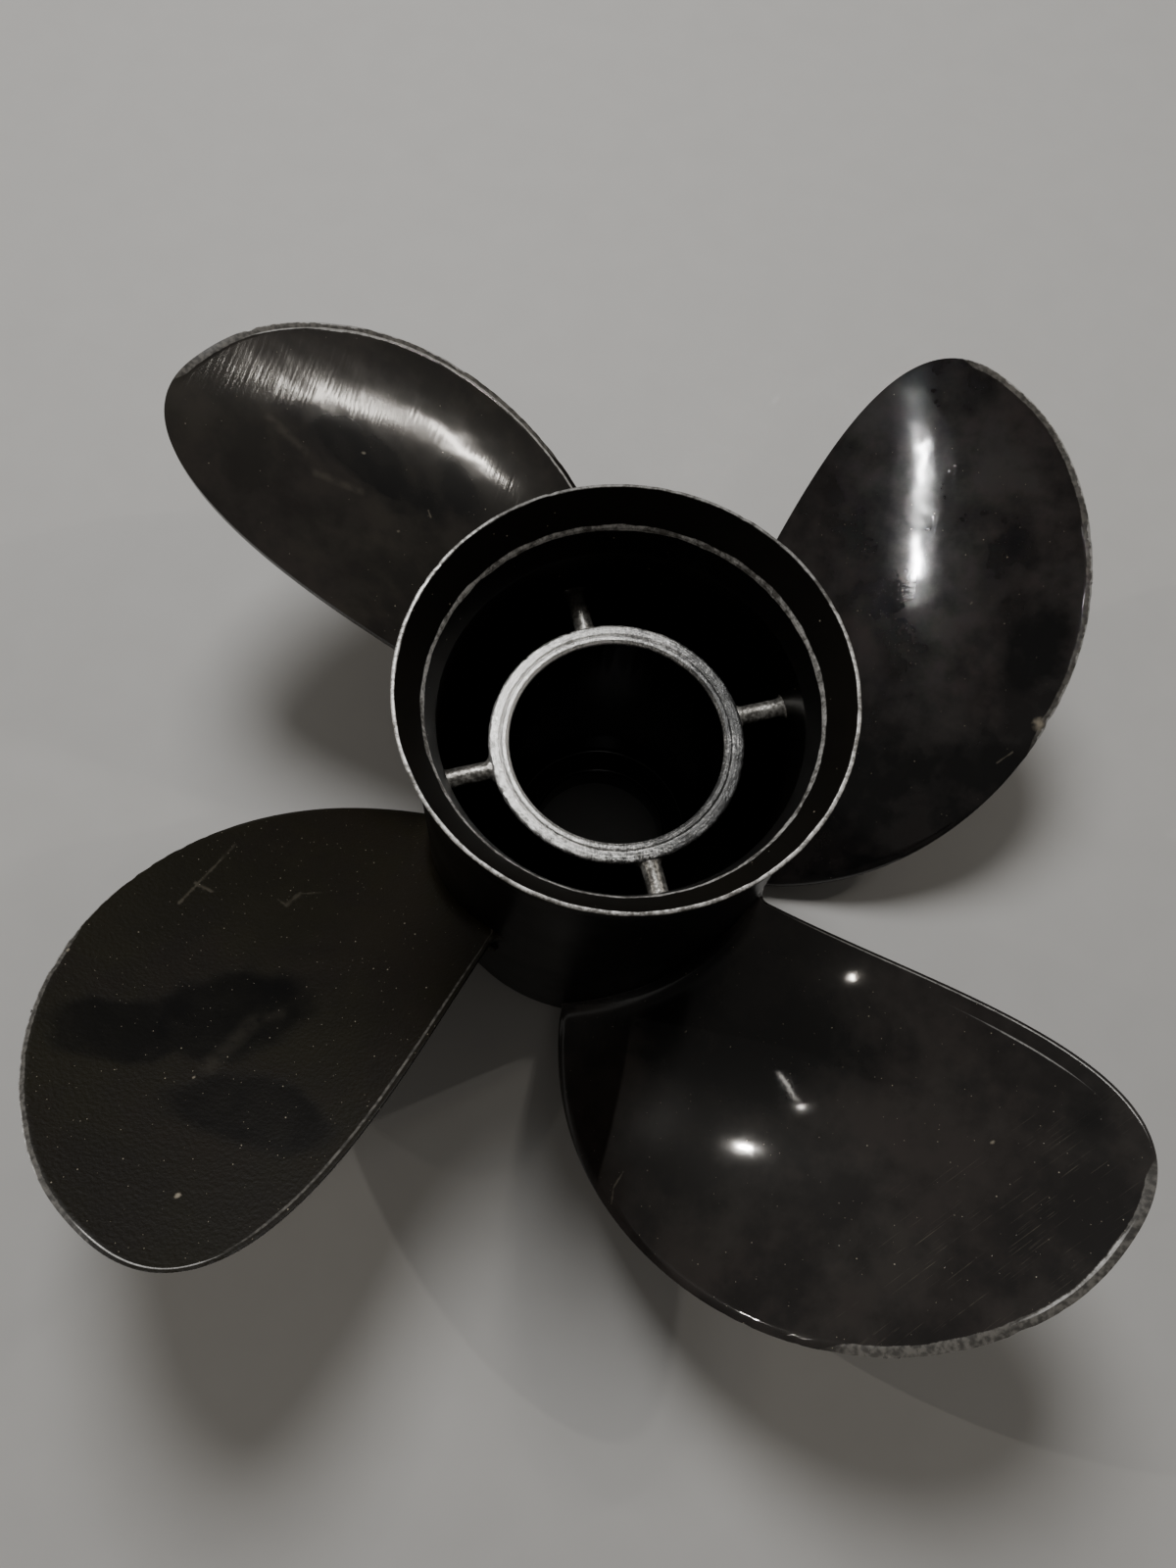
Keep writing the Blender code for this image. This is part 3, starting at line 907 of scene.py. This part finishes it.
def sheet_mesh(name):
    """A Coons patch between the root, the two sides and the tip, with its numbers."""
    root_radius = outline_at(0.0).length
    last_angle = math.atan2(outline_at(1.0).y, outline_at(1.0).x)
    columns = [column_share(column) for column in range(CHORD_STEPS + 1)]
    tip = [outline_at(between(LEADING_END, TRAILING_START, along)) for along in columns]
    root = [plan_point(root_radius, last_angle * along) for along in columns]
    shape = bmesh.new()
    grid = []
    numbers = {"chord": [], "span": [], "on_outline": [], "outline_place": []}
    for row in range(SPAN_STEPS + 1):
        out = row_share(row)
        lead_place = LEADING_END * out
        trail_place = between(1.0, TRAILING_START, out)
        lead = outline_at(lead_place)
        trail = outline_at(trail_place)
        grid.append([])
        for along, inner, outer in zip(columns, root, tip):
            sides = inner.lerp(outer, out) + lead.lerp(trail, along)
            corners = root[0].lerp(root[-1], along).lerp(tip[0].lerp(tip[-1], along), out)
            grid[-1].append(shape.verts.new((*(sides - corners), 0.0)))
            numbers["chord"].append(along)
            numbers["span"].append(out)
            numbers["on_outline"].append(float(along in (columns[0], columns[-1]) or row == SPAN_STEPS))
            numbers["outline_place"].append(between(lead_place, trail_place, along))
    for lower, upper in zip(grid, grid[1:]):
        for column in range(CHORD_STEPS):
            shape.faces.new((lower[column], upper[column], upper[column + 1], lower[column + 1]))
    mesh = mesh_from(shape, name)
    for label, values in numbers.items():
        mesh.attributes.new(label, "FLOAT", "POINT").data.foreach_set("value", values)
    return mesh


print("sheet of", (CHORD_STEPS + 1) * (SPAN_STEPS + 1), "points")

# %% Short names for the nodes of a blade
def position(tree):
    return add_node(tree, "GeometryNodeInputPosition")


def attribute(tree, name, kind="FLOAT"):
    return add_node(tree, "GeometryNodeInputNamedAttribute", {"Name": name}, data_type=kind)


def store(geometry, name, value, kind="FLOAT"):
    inputs = {"Geometry": geometry, "Name": name, "Value": value}
    settings = {"data_type": kind, "domain": "POINT"}
    return add_node(geometry.tree, "GeometryNodeStoreNamedAttribute", inputs, **settings)


def move(geometry, offset, selection=None):
    inputs = {"Geometry": geometry, "Offset": offset, "Selection": selection}
    return add_node(geometry.tree, "GeometryNodeSetPosition", inputs)


def scaled(vector, amount):
    inputs = {0: vector, "Scale": amount}
    return add_node(vector.tree, "ShaderNodeVectorMath", inputs, operation="SCALE")


def seeded_noise(place, seed, scale):
    """Noise round 0 that differs from seed to seed."""
    inputs = {"Vector": place, "W": seed, "Scale": scale, "Detail": 1.0}
    return add_node(place.tree, "ShaderNodeTexNoise", inputs, noise_dimensions="4D") - 0.5


def stretch(where, low, high):
    """1 between two places of the outline, with soft ends."""
    return where.step(low - 0.03, low + 0.02) * where.step(high + 0.03, high - 0.02)


def quarter_round(radius, skin, size):
    """How far a fillet of this size stands out at a radius. It starts at the barrel's skin."""
    short = (1.0 - (radius - skin) / size).clamped()
    return (1.0 - (1.0 - short * short) ** 0.5) * size


def distance_from_outline(geometry):
    """How far each point lies from the edges whose points are on the outline."""
    chosen = attribute(geometry.tree, "on_outline").math("GREATER_THAN", 0.99)
    inputs = {"Geometry": geometry, "Selection": chosen}
    edges = add_node(geometry.tree, "GeometryNodeSeparateGeometry", inputs, domain="EDGE")
    settings = {"output": "Distance", "target_element": "EDGES"}
    return add_node(geometry.tree, "GeometryNodeProximity", {0: edges}, **settings)

# %% [markdown]
# The rule of a blade has four steps. First, still flat, sand and stones nick the leading edge: along
# a stretch of the outline its points move inward with the rhythm of a seeded noise, and one bigger
# bite can be set. The trailing edge swings out where it meets the barrel. Then the sheet climbs
# onto the screw surface, and small waves, a dent and the dropped nose of the leading edge are added
# along its normal. Then comes the fillet at the barrel, and last the sheet is extruded to its
# thickness.

# %% Steps of the rule
KNOCK_SCALES = (210.0, 520.0)
NICKED_BAND = 0.0045
WAVE_SCALE = 30.0
EDGE_BAND = 0.012


def nick_edge(tree, flow, sheet):
    place = position(tree)
    inward = join_coordinates(flow["Middle X"] - place.x, flow["Middle Y"] - place.y, 0.0).normalized()
    wide, fine = [seeded_noise(place, flow["Seed"], scale) for scale in KNOCK_SCALES]
    knocks = (wide.math("MAXIMUM", 0.0) + fine.math("MAXIMUM", 0.0) * 0.5) * 4.0
    nicked = stretch(attribute(tree, "outline_place"), flow["Nick Start"], flow["Nick End"])
    nicked = nicked * attribute(tree, "from_outline").step(NICKED_BAND, 0.0)
    away = distance_in_plan(place, (flow["Bite X"], flow["Bite Y"]))
    bite = away.step(flow["Bite Radius"], 0.0) * flow["Bite Depth"]
    return move(sheet, scaled(inward, knocks * flow["Nick Depth"] * nicked + bite))


def flare_root(tree, flow, sheet):
    """The trailing edge swings out where it meets the barrel."""
    place = position(tree)
    skin = flow["Barrel Radius"] - flow["Barrel Taper"] * flow["Trailing Height"]
    out = quarter_round(distance_in_plan(place), skin, flow["Edge Fillet"])
    out = out * attribute(tree, "chord").step(0.90, 1.0)
    around = join_coordinates(place.y * -1.0, place.x, 0.0).normalized()
    return move(sheet, scaled(around, out))


def climb(tree, flow):
    """Height of the pressure face over the front of the barrel."""
    place = position(tree)
    radius = distance_in_plan(place)
    angle = place.y.math("ARCTAN2", place.x)
    share = (radius - flow["Barrel Radius"]) / (flow["Tip Radius"] - flow["Barrel Radius"])
    lead = between(flow["Lead At Hub"], flow["Lead At Tip"], share)
    rake = flow["Straight Rake"] * share + flow["Curved Rake"] * share * share
    camber = flow["Camber"] * radius * angle * angle
    height = flow["Front Clearance"] + rake + lead / math.tau * angle + camber
    return join_coordinates(0.0, 0.0, height)


def shape_face(tree, flow):
    """Waves, a dent and the dropped nose, as one distance along the normal."""
    place = position(tree)
    from_outline = attribute(tree, "from_outline")
    waves = seeded_noise(place, flow["Seed"], WAVE_SCALE) * flow["Waves"]
    waves = waves * from_outline.step(0.0, EDGE_BAND)
    away = distance_in_plan(place, (flow["Dent X"], flow["Dent Y"]))
    dent = away.step(flow["Dent Radius"], 0.0) * flow["Dent Depth"]
    near = (1.0 - from_outline / flow["Nose Width"]).math("MAXIMUM", 0.0) ** 1.4
    where = attribute(tree, "outline_place")
    leading = where.step(0.02, 0.10) * where.step(flow["Nose End"] + 0.04, flow["Nose End"] - 0.04)
    return waves - dent - near * leading * flow["Nose Drop"]


def thickness(tree, flow):
    """Most in the middle of the root, least round the edge, and thicker behind than in front."""
    chord = attribute(tree, "chord")
    span = attribute(tree, "span")
    edge = between(flow["Leading Thickness"], flow["Trailing Thickness"], chord)
    core = between(flow["Root Thickness"], flow["Tip Thickness"], span)
    off_middle = (chord * 2.0 - 1.0).math("ABSOLUTE") ** 2.5
    return between(edge, core, (1.0 - off_middle) * (1.0 - span ** 5.0))


def fillet(tree, flow):
    """How far the fillet lifts a face where it nears the barrel."""
    place = position(tree)
    skin = flow["Barrel Radius"] - place.z * flow["Barrel Taper"]
    off_middle = (attribute(tree, "chord") * 2.0 - 1.0).math("ABSOLUTE") ** 3.0
    return quarter_round(distance_in_plan(place), skin, flow["Fillet"]) * (1.0 - off_middle) ** 0.5


def thicken(tree, flow, sheet):
    """The sheet, its copy pushed forward, and the edge between them.

    The copy goes along the normal, but straight down at the outline, so that it isn't wider there.
    """
    inner = attribute(tree, "from_outline").step(0.0, EDGE_BAND)
    facing = blend((0.0, 0.0, 1.0), attribute(tree, "facing", "FLOAT_VECTOR"), inner).normalized()
    inputs = {"Mesh": sheet, "Offset Scale": 0.0, "Individual": False}
    pushed = add_node(tree, "GeometryNodeExtrudeMesh", inputs, mode="FACES")
    deep = (thickness(tree, flow) + attribute(tree, "rise") * 2.0) * -1.0
    pushed = move(pushed, scaled(facing, deep), pushed.output("Top"))
    pushed = add_node(tree, "GeometryNodeFlipFaces", [pushed])
    both = add_node(tree, "GeometryNodeJoinGeometry")
    for half in (sheet, pushed):
        tree.links.new(half.socket, both.socket.node.inputs[0])
    return add_node(tree, "GeometryNodeMergeByDistance", {"Geometry": both, "Distance": 0.000001})

# %% The rule of a blade
def blade_rule():
    tree, flow = start_rule("blade", BLADE_SIZES | BLADE_WEAR)
    flat = store(flow["Geometry"], "from_outline", distance_from_outline(flow["Geometry"]))
    nicked = nick_edge(tree, flow, flat)
    flared = flare_root(tree, flow, nicked)
    screwed = move(flared, climb(tree, flow))
    measured = store(screwed, "from_outline", distance_from_outline(screwed))
    faced = store(measured, "facing", add_node(tree, "GeometryNodeInputNormal"), "FLOAT_VECTOR")
    facing = attribute(tree, "facing", "FLOAT_VECTOR")
    shaped = move(faced, scaled(facing, shape_face(tree, flow)))
    raised = store(shaped, "rise", fillet(tree, flow))
    face = move(raised, scaled(facing, attribute(tree, "rise")))
    shell = thicken(tree, flow, face)
    turn = add_node(tree, "FunctionNodeEulerToRotation", [join_coordinates(0.0, 0.0, flow["Turn"])])
    turned = add_node(tree, "GeometryNodeTransform", {"Geometry": shell, "Rotation": turn})
    smooth = add_node(tree, "GeometryNodeSetShadeSmooth", [turned])
    end_rule(tree, smooth, flow["Material"])
    return tree


BLADE_TREE = blade_rule()

# %% [markdown]
# ## Blade paint
#
# The four blades left the spray booth alike and look quite different now, so one function paints
# them all and each blade brings its own numbers: how glossy it is, where a film of dirt dulls it,
# where it was rubbed clean, where soot beside the barrel blurs it, how its edges are worn, and
# where a painted sheen and painted highlight lines run along them. On the fourth blade one clean
# patch beside the barrel is painted shade, and on the third two faint strokes are a painted
# reflection. The edge bands follow the outline, so they read the two attributes of the sheet: the
# distance from the outline and the place along it.

# %% Wear along the outline
def edge_bands(place, bands):
    """1 in bands along the edge: worn bare metal, a painted sheen, painted highlight lines. Each has two
    places of the outline, two distances from it, and raggedness.
    """
    from_outline, where = [
        add_node(place.tree, "ShaderNodeAttribute", output="Fac", attribute_name=name)
        for name in ("from_outline", "outline_place")
    ]
    uneven = cloud(place, 420.0, detail=5.0, roughness=0.7) + cloud(place, 60.0, detail=2.0) - 1.0
    worn = []
    for low, high, near, far, ragged in bands:
        along = stretch(where, low, high)
        width = along * (uneven * (2.0 * ragged) + 1.0) * (far - near)
        inside = from_outline.step(near - 0.0001, near + 0.0001)
        worn.append(inside * (from_outline - near - width).step(0.00012, -0.00012) * along)
    return strongest(place.tree, worn)

# %% Film, marks and relief of a blade
FAINT_STROKE = 0.3
SCRATCH_STRENGTH = 0.20
PIT_DEPTH = 0.12
RING_MARK_DEPTH = 0.25


def blade_film(place, looks):
    """How dull the paint is, from 0 where it is clean and glossy to 1."""
    wide = cloud(place, 34.0, detail=3.0, warp=0.3)
    fine = cloud(place, 130.0, detail=5.0, roughness=0.6)
    film = (wide * 0.6 + fine * 0.4).step(0.38, 0.64) * looks["clouds"] + looks["film"]
    for *ellipse, amount in looks["stains"]:
        film = film + patch(place, *ellipse) * amount
    for centre, length, width, turn, amount in looks["dried_rims"]:
        inside = patch(place, centre, length * 0.8, width * 0.8, turn)
        film = film + (patch(place, centre, length, width, turn) - inside) * amount
    # A wiped patch takes the film away and leaves the paint darker. On the fourth blade one of them is
    # painted shade beside the barrel.
    wiped = [
        patch(place, *ellipse, ragged=0.35, soft=looks["wiped_edge"]) * amount
        for *ellipse, amount in looks["wiped"]
    ]
    return (film - strongest(place.tree, wiped)).clamped()


def blade_soot(place, looks):
    """Where soot beside the barrel blurs what the paint mirrors."""
    return strongest(place.tree, [patch(place, *ellipse, soft=0.9) for ellipse in looks["sooty"]])


def blade_marks(place, looks):
    """Dust, scratches, chips and a painted reflection streak, 1 where they are palest."""
    marks = [
        dust(place, 240.0, 0.00022, looks["dust"], dimensions="2D"),
        dust(place, 620.0, 0.00013, looks["dust"] * 0.8, dimensions="2D"),
    ]
    for start, end, width, strength in looks["strokes"]:
        broken = cloud(place, 300.0, detail=3.0).step(0.20, 0.60) if strength < FAINT_STROKE else 1.0
        marks.append(stroke(place, start, end, width) * broken * strength)
    for *ellipse, turn, share in looks["scratched"]:
        lines = scratches(place, turn, 0.022, 0.00024, share)
        area = patch(place, *ellipse, turn, ragged=0.5, soft=0.8)
        dashes = cloud(place, 300.0, detail=2.0).step(0.36, 0.62)
        marks.append(lines * area * dashes * SCRATCH_STRENGTH)
    return strongest(place.tree, marks)


def blade_relief(place, looks, film):
    """Height of the paint: orange peel, sags, brush marks, grain, pits and ring marks."""
    turn, strength = looks["brushed"]
    height = cloud(place, 420.0, detail=1.0) * 0.035 + cloud(place, 150.0, detail=0.0) * looks["ripple"]
    height = height + cloud(place, 950.0, detail=2.0) * film * looks["grain"]
    height = height + brush_marks(place, turn, 0.012, 0.00090) * strength
    for centre, radius in looks["pits"]:
        height = height - distance_in_plan(place, centre).step(radius, radius * 0.2) * PIT_DEPTH
    for centre, radius in looks["ring_marks"]:
        away = distance_in_plan(place, centre)
        ring = away.step(radius * 1.2, radius) * away.step(radius * 0.7, radius)
        height = height - ring * RING_MARK_DEPTH
    return height

# %% Paint of one blade
# The grey band along an edge is a painted sheen: the light that the rounded nose mirrors, laid into its
# colour.
EDGE_SHEEN_DARK = (0.060, 0.056, 0.050, 1.0)
EDGE_SHEEN_LIGHT = (0.165, 0.155, 0.138, 1.0)
SOOT_BLUR = 0.16
WORN_ROUGHNESS = 0.42
HAZE_ROUGHNESS = 0.30
BLADE_RELIEF = 0.00010


def blade_paint(name, looks):
    material, place = start_finish(name)
    # Bright bands at the outline are paint worn to bare metal; those set in from it are painted highlights
    # along the rounded corners of the edge.
    bright = edge_bands(place, looks["bare_and_highlight_edges"])
    # A painted sheen along the rounded edge.
    edge_sheen = edge_bands(place, looks["painted_sheen_edges"])
    film = blade_film(place, looks)
    marks = blade_marks(place, looks)
    shade = cloud(place, 650.0, detail=4.0).step(0.35, 0.65)
    mottle = cloud(place, 30.0, detail=4.0).step(0.4, 0.6)
    colour = blend(PAINT_BLACK, blend(looks["film_colour"], looks["film_tint"], mottle), film)
    colour = blend(colour, blend(EDGE_SHEEN_DARK, EDGE_SHEEN_LIGHT, shade), edge_sheen)
    # Dust, scratches, chips and the painted reflection streak in pale colour.
    colour = blend(colour, DUST_AND_REFLECTION_COLOUR, marks)
    colour = blend(colour, metal_colour(place), bright)
    # The mask for roughness and relief joins the bare metal and the painted sheen band.
    worn = bright.math("MAXIMUM", edge_sheen * 0.6)
    roughness = film * looks["dulling"] + looks["gloss"] + blade_soot(place, looks) * SOOT_BLUR
    roughness = blend(roughness, WORN_ROUGHNESS, worn.math("MAXIMUM", marks * 0.4))
    height = blade_relief(place, looks, film) + marks * 0.1 - worn * 0.4
    height = height + cloud(place, 1800.0, detail=2.0) * worn * 0.25
    constants = {
        "Specular IOR Level": looks["mirror"],
        "Coat Weight": looks["haze"],
        "Coat Roughness": HAZE_ROUGHNESS,
    }
    set_surface(material, colour, roughness, bright * 0.4, bump(height, BLADE_RELIEF), **constants)
    return material


print("edge wear, film, marks and relief make the blade paint")

# %% [markdown]
# The numbers below were read off the photo, blade by blade, and are places on the object in metres
# as seen along the shaft. A stretch of an edge band is given by two places of the outline, which runs
# from 0 at the root of the leading edge over the tip at about 0.5 to 1 at the trailing root. Bright
# bands that start at the outline are wear; bright bands set in from it are painted highlight lines,
# and grey bands are a painted sheen.

# %% What a plain blade lacks
PLAIN_LOOKS = {
    "grain": 0.0, "stains": [], "dried_rims": [], "sooty": [],
    "scratched": [], "pits": [], "ring_marks": [],
}
BLADE_LOOKS = []
print("a blade may have", ", ".join(PLAIN_LOOKS))

# %% The first blade: mirror gloss, pits and a chip
BLADE_LOOKS.append(dict(
    PLAIN_LOOKS,
    mirror=0.6, haze=0.10, gloss=0.058, dulling=0.02, ripple=0.38,
    film_colour=(0.0430, 0.0390, 0.0368, 1.0), film_tint=(0.0395, 0.0322, 0.0302, 1.0),
    film=0.22, clouds=0.75, dust=0.03,
    brushed=(80.0, 0.01),
    # A painted sheen along the edge; both bright bands start at the outline and are wear.
    painted_sheen_edges=[(0.28, 0.74, -0.001, 0.0019, 0.15)],
    bare_and_highlight_edges=[(0.27, 0.46, -0.001, 0.0005, 0.9), (0.46, 0.76, -0.001, 0.0003, 0.7)],
    stains=[((0.0795, 0.1090), 0.012, 0.010, 0.0, 0.6)],
    dried_rims=[((0.0995, 0.1010), 0.050, 0.030, 75.0, 0.25)],
    wiped=[
        ((0.1234, 0.0757), 0.020, 0.018, 60.0, 0.5),
        ((0.1080, 0.0980), 0.022, 0.014, 80.0, 0.5),
        ((0.0860, 0.0220), 0.090, 0.040, 18.0, 0.6),
    ],
    wiped_edge=0.9,
    sooty=[((0.066, 0.018), 0.085, 0.060, -30.0)],
    strokes=[
        ((0.1205, 0.0436), (0.1242, 0.0471), 0.0005, 0.3),
        ((0.1294, 0.0562), (0.1300, 0.0554), 0.0030, 1.0),
        ((0.1009, 0.0861), (0.1011, 0.0864), 0.0007, 0.5),
    ],
    pits=[((0.0850, 0.1200), 0.0008), ((0.0862, 0.1215), 0.0007), ((0.0835, 0.1070), 0.0007)],
    rule={
        "Nick Start": 0.27, "Nick End": 0.46,
        "Dent X": 0.1275, "Dent Y": 0.0983, "Dent Radius": 0.008, "Dent Depth": 0.0006,
        "Bite X": 0.1325, "Bite Y": 0.0563, "Bite Radius": 0.0020, "Bite Depth": 0.0006,
    },
))
print("blade", len(BLADE_LOOKS), "with", len(BLADE_LOOKS[-1]["strokes"]), "strokes")

# %% The second blade: brushed, with a dull film
BLADE_LOOKS.append(dict(
    PLAIN_LOOKS,
    mirror=0.5, haze=0.16, gloss=0.070, dulling=0.03, ripple=0.35,
    film_colour=(0.0380, 0.0330, 0.0262, 1.0), film_tint=(0.0340, 0.0284, 0.0240, 1.0),
    film=0.35, clouds=0.45, dust=0.03,
    brushed=(85.0, 0.14),
    # A painted sheen along the edge; the first two bright bands, set in from the outline, are painted
    # highlight lines, and the third is wear.
    painted_sheen_edges=[(0.26, 0.72, -0.001, 0.0021, 0.10)],
    bare_and_highlight_edges=[
        (0.20, 0.50, 0.0017, 0.0024, 0.5),
        (0.50, 0.58, 0.0018, 0.0022, 0.6),
        (0.33, 0.60, -0.001, 0.0003, 0.7),
    ],
    dried_rims=[((-0.0967, 0.0932), 0.040, 0.022, -18.0, 0.35)],
    wiped=[
        ((-0.0950, 0.0940), 0.050, 0.024, -12.0, 0.65),
        ((-0.0735, 0.0968), 0.026, 0.020, -30.0, 0.40),
    ],
    wiped_edge=0.7,
    strokes=[
        ((-0.1227, 0.0887), (-0.1119, 0.0842), 0.0034, 0.07),
        ((-0.1071, 0.0789), (-0.0947, 0.0801), 0.0030, 0.08),
        ((-0.0747, 0.0850), (-0.0735, 0.0832), 0.0006, 0.30),
        ((-0.0968, 0.0931), (-0.0966, 0.0933), 0.0008, 0.50),
        ((-0.0811, 0.0728), (-0.0809, 0.0730), 0.0008, 0.30),
    ],
    rule={"Nick Start": 0.20, "Nick End": 0.50, "Nick Depth": 0.0003},
))
print("blade", len(BLADE_LOOKS), "with", len(BLADE_LOOKS[-1]["strokes"]), "strokes")

# %% The third blade: a grained film, wiped in three places
BLADE_LOOKS.append(dict(
    PLAIN_LOOKS,
    mirror=0.2, haze=0.0, gloss=0.26, dulling=0.26, ripple=0.10, grain=1.10,
    film_colour=(0.0106, 0.0082, 0.0018, 1.0), film_tint=(0.0101, 0.0069, 0.0027, 1.0),
    film=0.75, clouds=0.25, dust=0.13,
    brushed=(35.0, 0.02),
    # Painted sheen along the edges; the first bright band is wear at the outline, and the second, set in
    # from it, is a painted highlight line.
    painted_sheen_edges=[(0.33, 0.68, -0.001, 0.0012, 0.20), (0.82, 0.97, 0.0012, 0.0019, 0.30)],
    bare_and_highlight_edges=[(0.30, 0.58, 0.0, 0.0002, 0.9), (0.66, 0.80, 0.0009, 0.0012, 0.4)],
    wiped=[
        ((-0.0875, -0.0845), 0.042, 0.026, 25.0, 0.62),
        ((-0.1110, -0.0945), 0.040, 0.018, 8.0, 0.55),
        ((-0.0719, -0.1086), 0.042, 0.018, -5.0, 0.55),
    ],
    wiped_edge=0.4,
    strokes=[
        ((-0.1155, -0.0550), (-0.1109, -0.0373), 0.0010, 0.20),
        ((-0.1109, -0.0373), (-0.1093, -0.0305), 0.0010, 0.08),
        ((-0.1142, -0.0470), (-0.1087, -0.0486), 0.0012, 0.18),
        ((-0.0897, -0.0462), (-0.0868, -0.0476), 0.0009, 0.10),
        ((-0.0868, -0.0476), (-0.0845, -0.0426), 0.0016, 0.12),
        ((-0.0845, -0.0426), (-0.0785, -0.0407), 0.0008, 0.10),
        # These two wide, faint strokes are a painted reflection: a pale streak of mirrored light across a
        # glossy patch.
        ((-0.0871, -0.0996), (-0.0811, -0.0855), 0.0056, 0.05),
        ((-0.0811, -0.0855), (-0.0751, -0.0814), 0.0036, 0.035),
        ((-0.0807, -0.1318), (-0.0803, -0.1312), 0.0011, 1.0),
        ((-0.0895, -0.1034), (-0.0893, -0.1032), 0.0007, 0.8),
        ((-0.1350, -0.0771), (-0.1348, -0.0769), 0.0008, 1.0),
    ],
    scratched=[((-0.0719, -0.1084), 0.036, 0.014, 35.0, 0.25)],
    rule={
        "Nick Start": 0.22, "Nick End": 0.55,
        "Nose Width": 0.0018, "Nose Drop": 0.0004,
    },
))
print("blade", len(BLADE_LOOKS), "with", len(BLADE_LOOKS[-1]["strokes"]), "strokes")

# %% The fourth blade: gloss with fine scratches and ring marks
BLADE_LOOKS.append(dict(
    PLAIN_LOOKS,
    mirror=0.6, haze=0.18, gloss=0.038, dulling=0.02, ripple=0.12,
    film_colour=(0.0400, 0.0348, 0.0312, 1.0), film_tint=(0.0360, 0.0295, 0.0265, 1.0),
    film=0.27, clouds=0.65, dust=0.08,
    brushed=(40.0, 0.01),
    # A painted sheen along the edge; all three bright bands are set in from the outline and are painted
    # highlight lines, the last a short glint.
    painted_sheen_edges=[(0.37, 0.75, -0.001, 0.0026, 0.12)],
    bare_and_highlight_edges=[
        (0.52, 0.67, 0.0017, 0.0024, 0.6),
        (0.79, 0.97, 0.0006, 0.0009, 0.3),
        (0.826, 0.846, 0.0046, 0.0051, 0.5),
    ],
    wiped=[
        # The first patch darkens the paint beside the barrel: painted shade.
        ((0.0480, -0.0560), 0.070, 0.036, -10.0, 0.6),
        ((0.0926, -0.0581), 0.010, 0.010, 0.0, 0.2),
        ((0.1338, -0.0679), 0.010, 0.010, 0.0, 0.2),
    ],
    wiped_edge=0.9,
    sooty=[((0.016, -0.080), 0.090, 0.046, 72.0)],
    strokes=[
        ((0.0268, -0.1017), (0.0249, -0.1065), 0.0005, 0.4),
        ((0.0249, -0.1065), (0.0250, -0.1110), 0.0005, 0.3),
        ((0.1150, -0.0792), (0.1152, -0.0790), 0.0008, 0.7),
    ],
    scratched=[((0.118, -0.102), 0.084, 0.038, 47.0, 0.34)],
    ring_marks=[((0.0926, -0.0581), 0.0035), ((0.1338, -0.0679), 0.0035)],
    rule={"Nick Start": 0.30, "Nick End": 0.60, "Nick Depth": 0.0003},
))
print("blade", len(BLADE_LOOKS), "with", len(BLADE_LOOKS[-1]["strokes"]), "strokes")

# %% [markdown]
# The tree gives a shell with square edges. A Bevel modifier after it rounds the two corners of the
# edge band by a few tenths of a millimetre, which is what draws the thin light lines along the
# blades' edges. The result is frozen into a plain mesh.

# %% Make the blades
EDGE_ROUND = 0.0006
EDGE_ANGLE = math.radians(50.0)


def make_blade(number, looks):
    name = f"blade_casting_{number + 1}"
    source = add_object(name + "_source", sheet_mesh(name))
    values = {"Turn": number * math.tau / BLADE_COUNT, "Seed": float(number)}
    values["Material"] = blade_paint(f"blade_paint_{number + 1}", looks)
    follow_rule(source, BLADE_TREE, values | looks["rule"])
    bevel = source.modifiers.new("rounded edges", "BEVEL")
    bevel.width = EDGE_ROUND
    bevel.segments = 3
    bevel.limit_method = "ANGLE"
    bevel.angle_limit = EDGE_ANGLE
    return plain_mesh(name, source)


for number, looks in enumerate(BLADE_LOOKS):
    place_piece(make_blade(number, looks), "blade_paint", f"blade_{number + 1}")

# %% [markdown]
# ## Floor
#
# The propeller stands on its front end on a plain pale floor, which isn't part of the object.

# %% Floor
FLOOR_SIZE = 8.0
FLOOR_DARK = (0.64, 0.63, 0.61, 1.0)
FLOOR_LIGHT = (0.69, 0.68, 0.66, 1.0)


def make_floor():
    shape = bmesh.new()
    bmesh.ops.create_grid(shape, x_segments=1, y_segments=1, size=FLOOR_SIZE / 2)
    floor = add_object("floor", mesh_from(shape, "floor"))
    material, place = start_finish("pale_floor")
    speckle = cloud(place, 60.0, detail=4.0)
    set_surface(material, blend(FLOOR_DARK, FLOOR_LIGHT, speckle), 0.6, 0.0, bump(speckle, 0.0001))
    floor.data.materials.append(material)
    return floor


print("floor", make_floor().name)
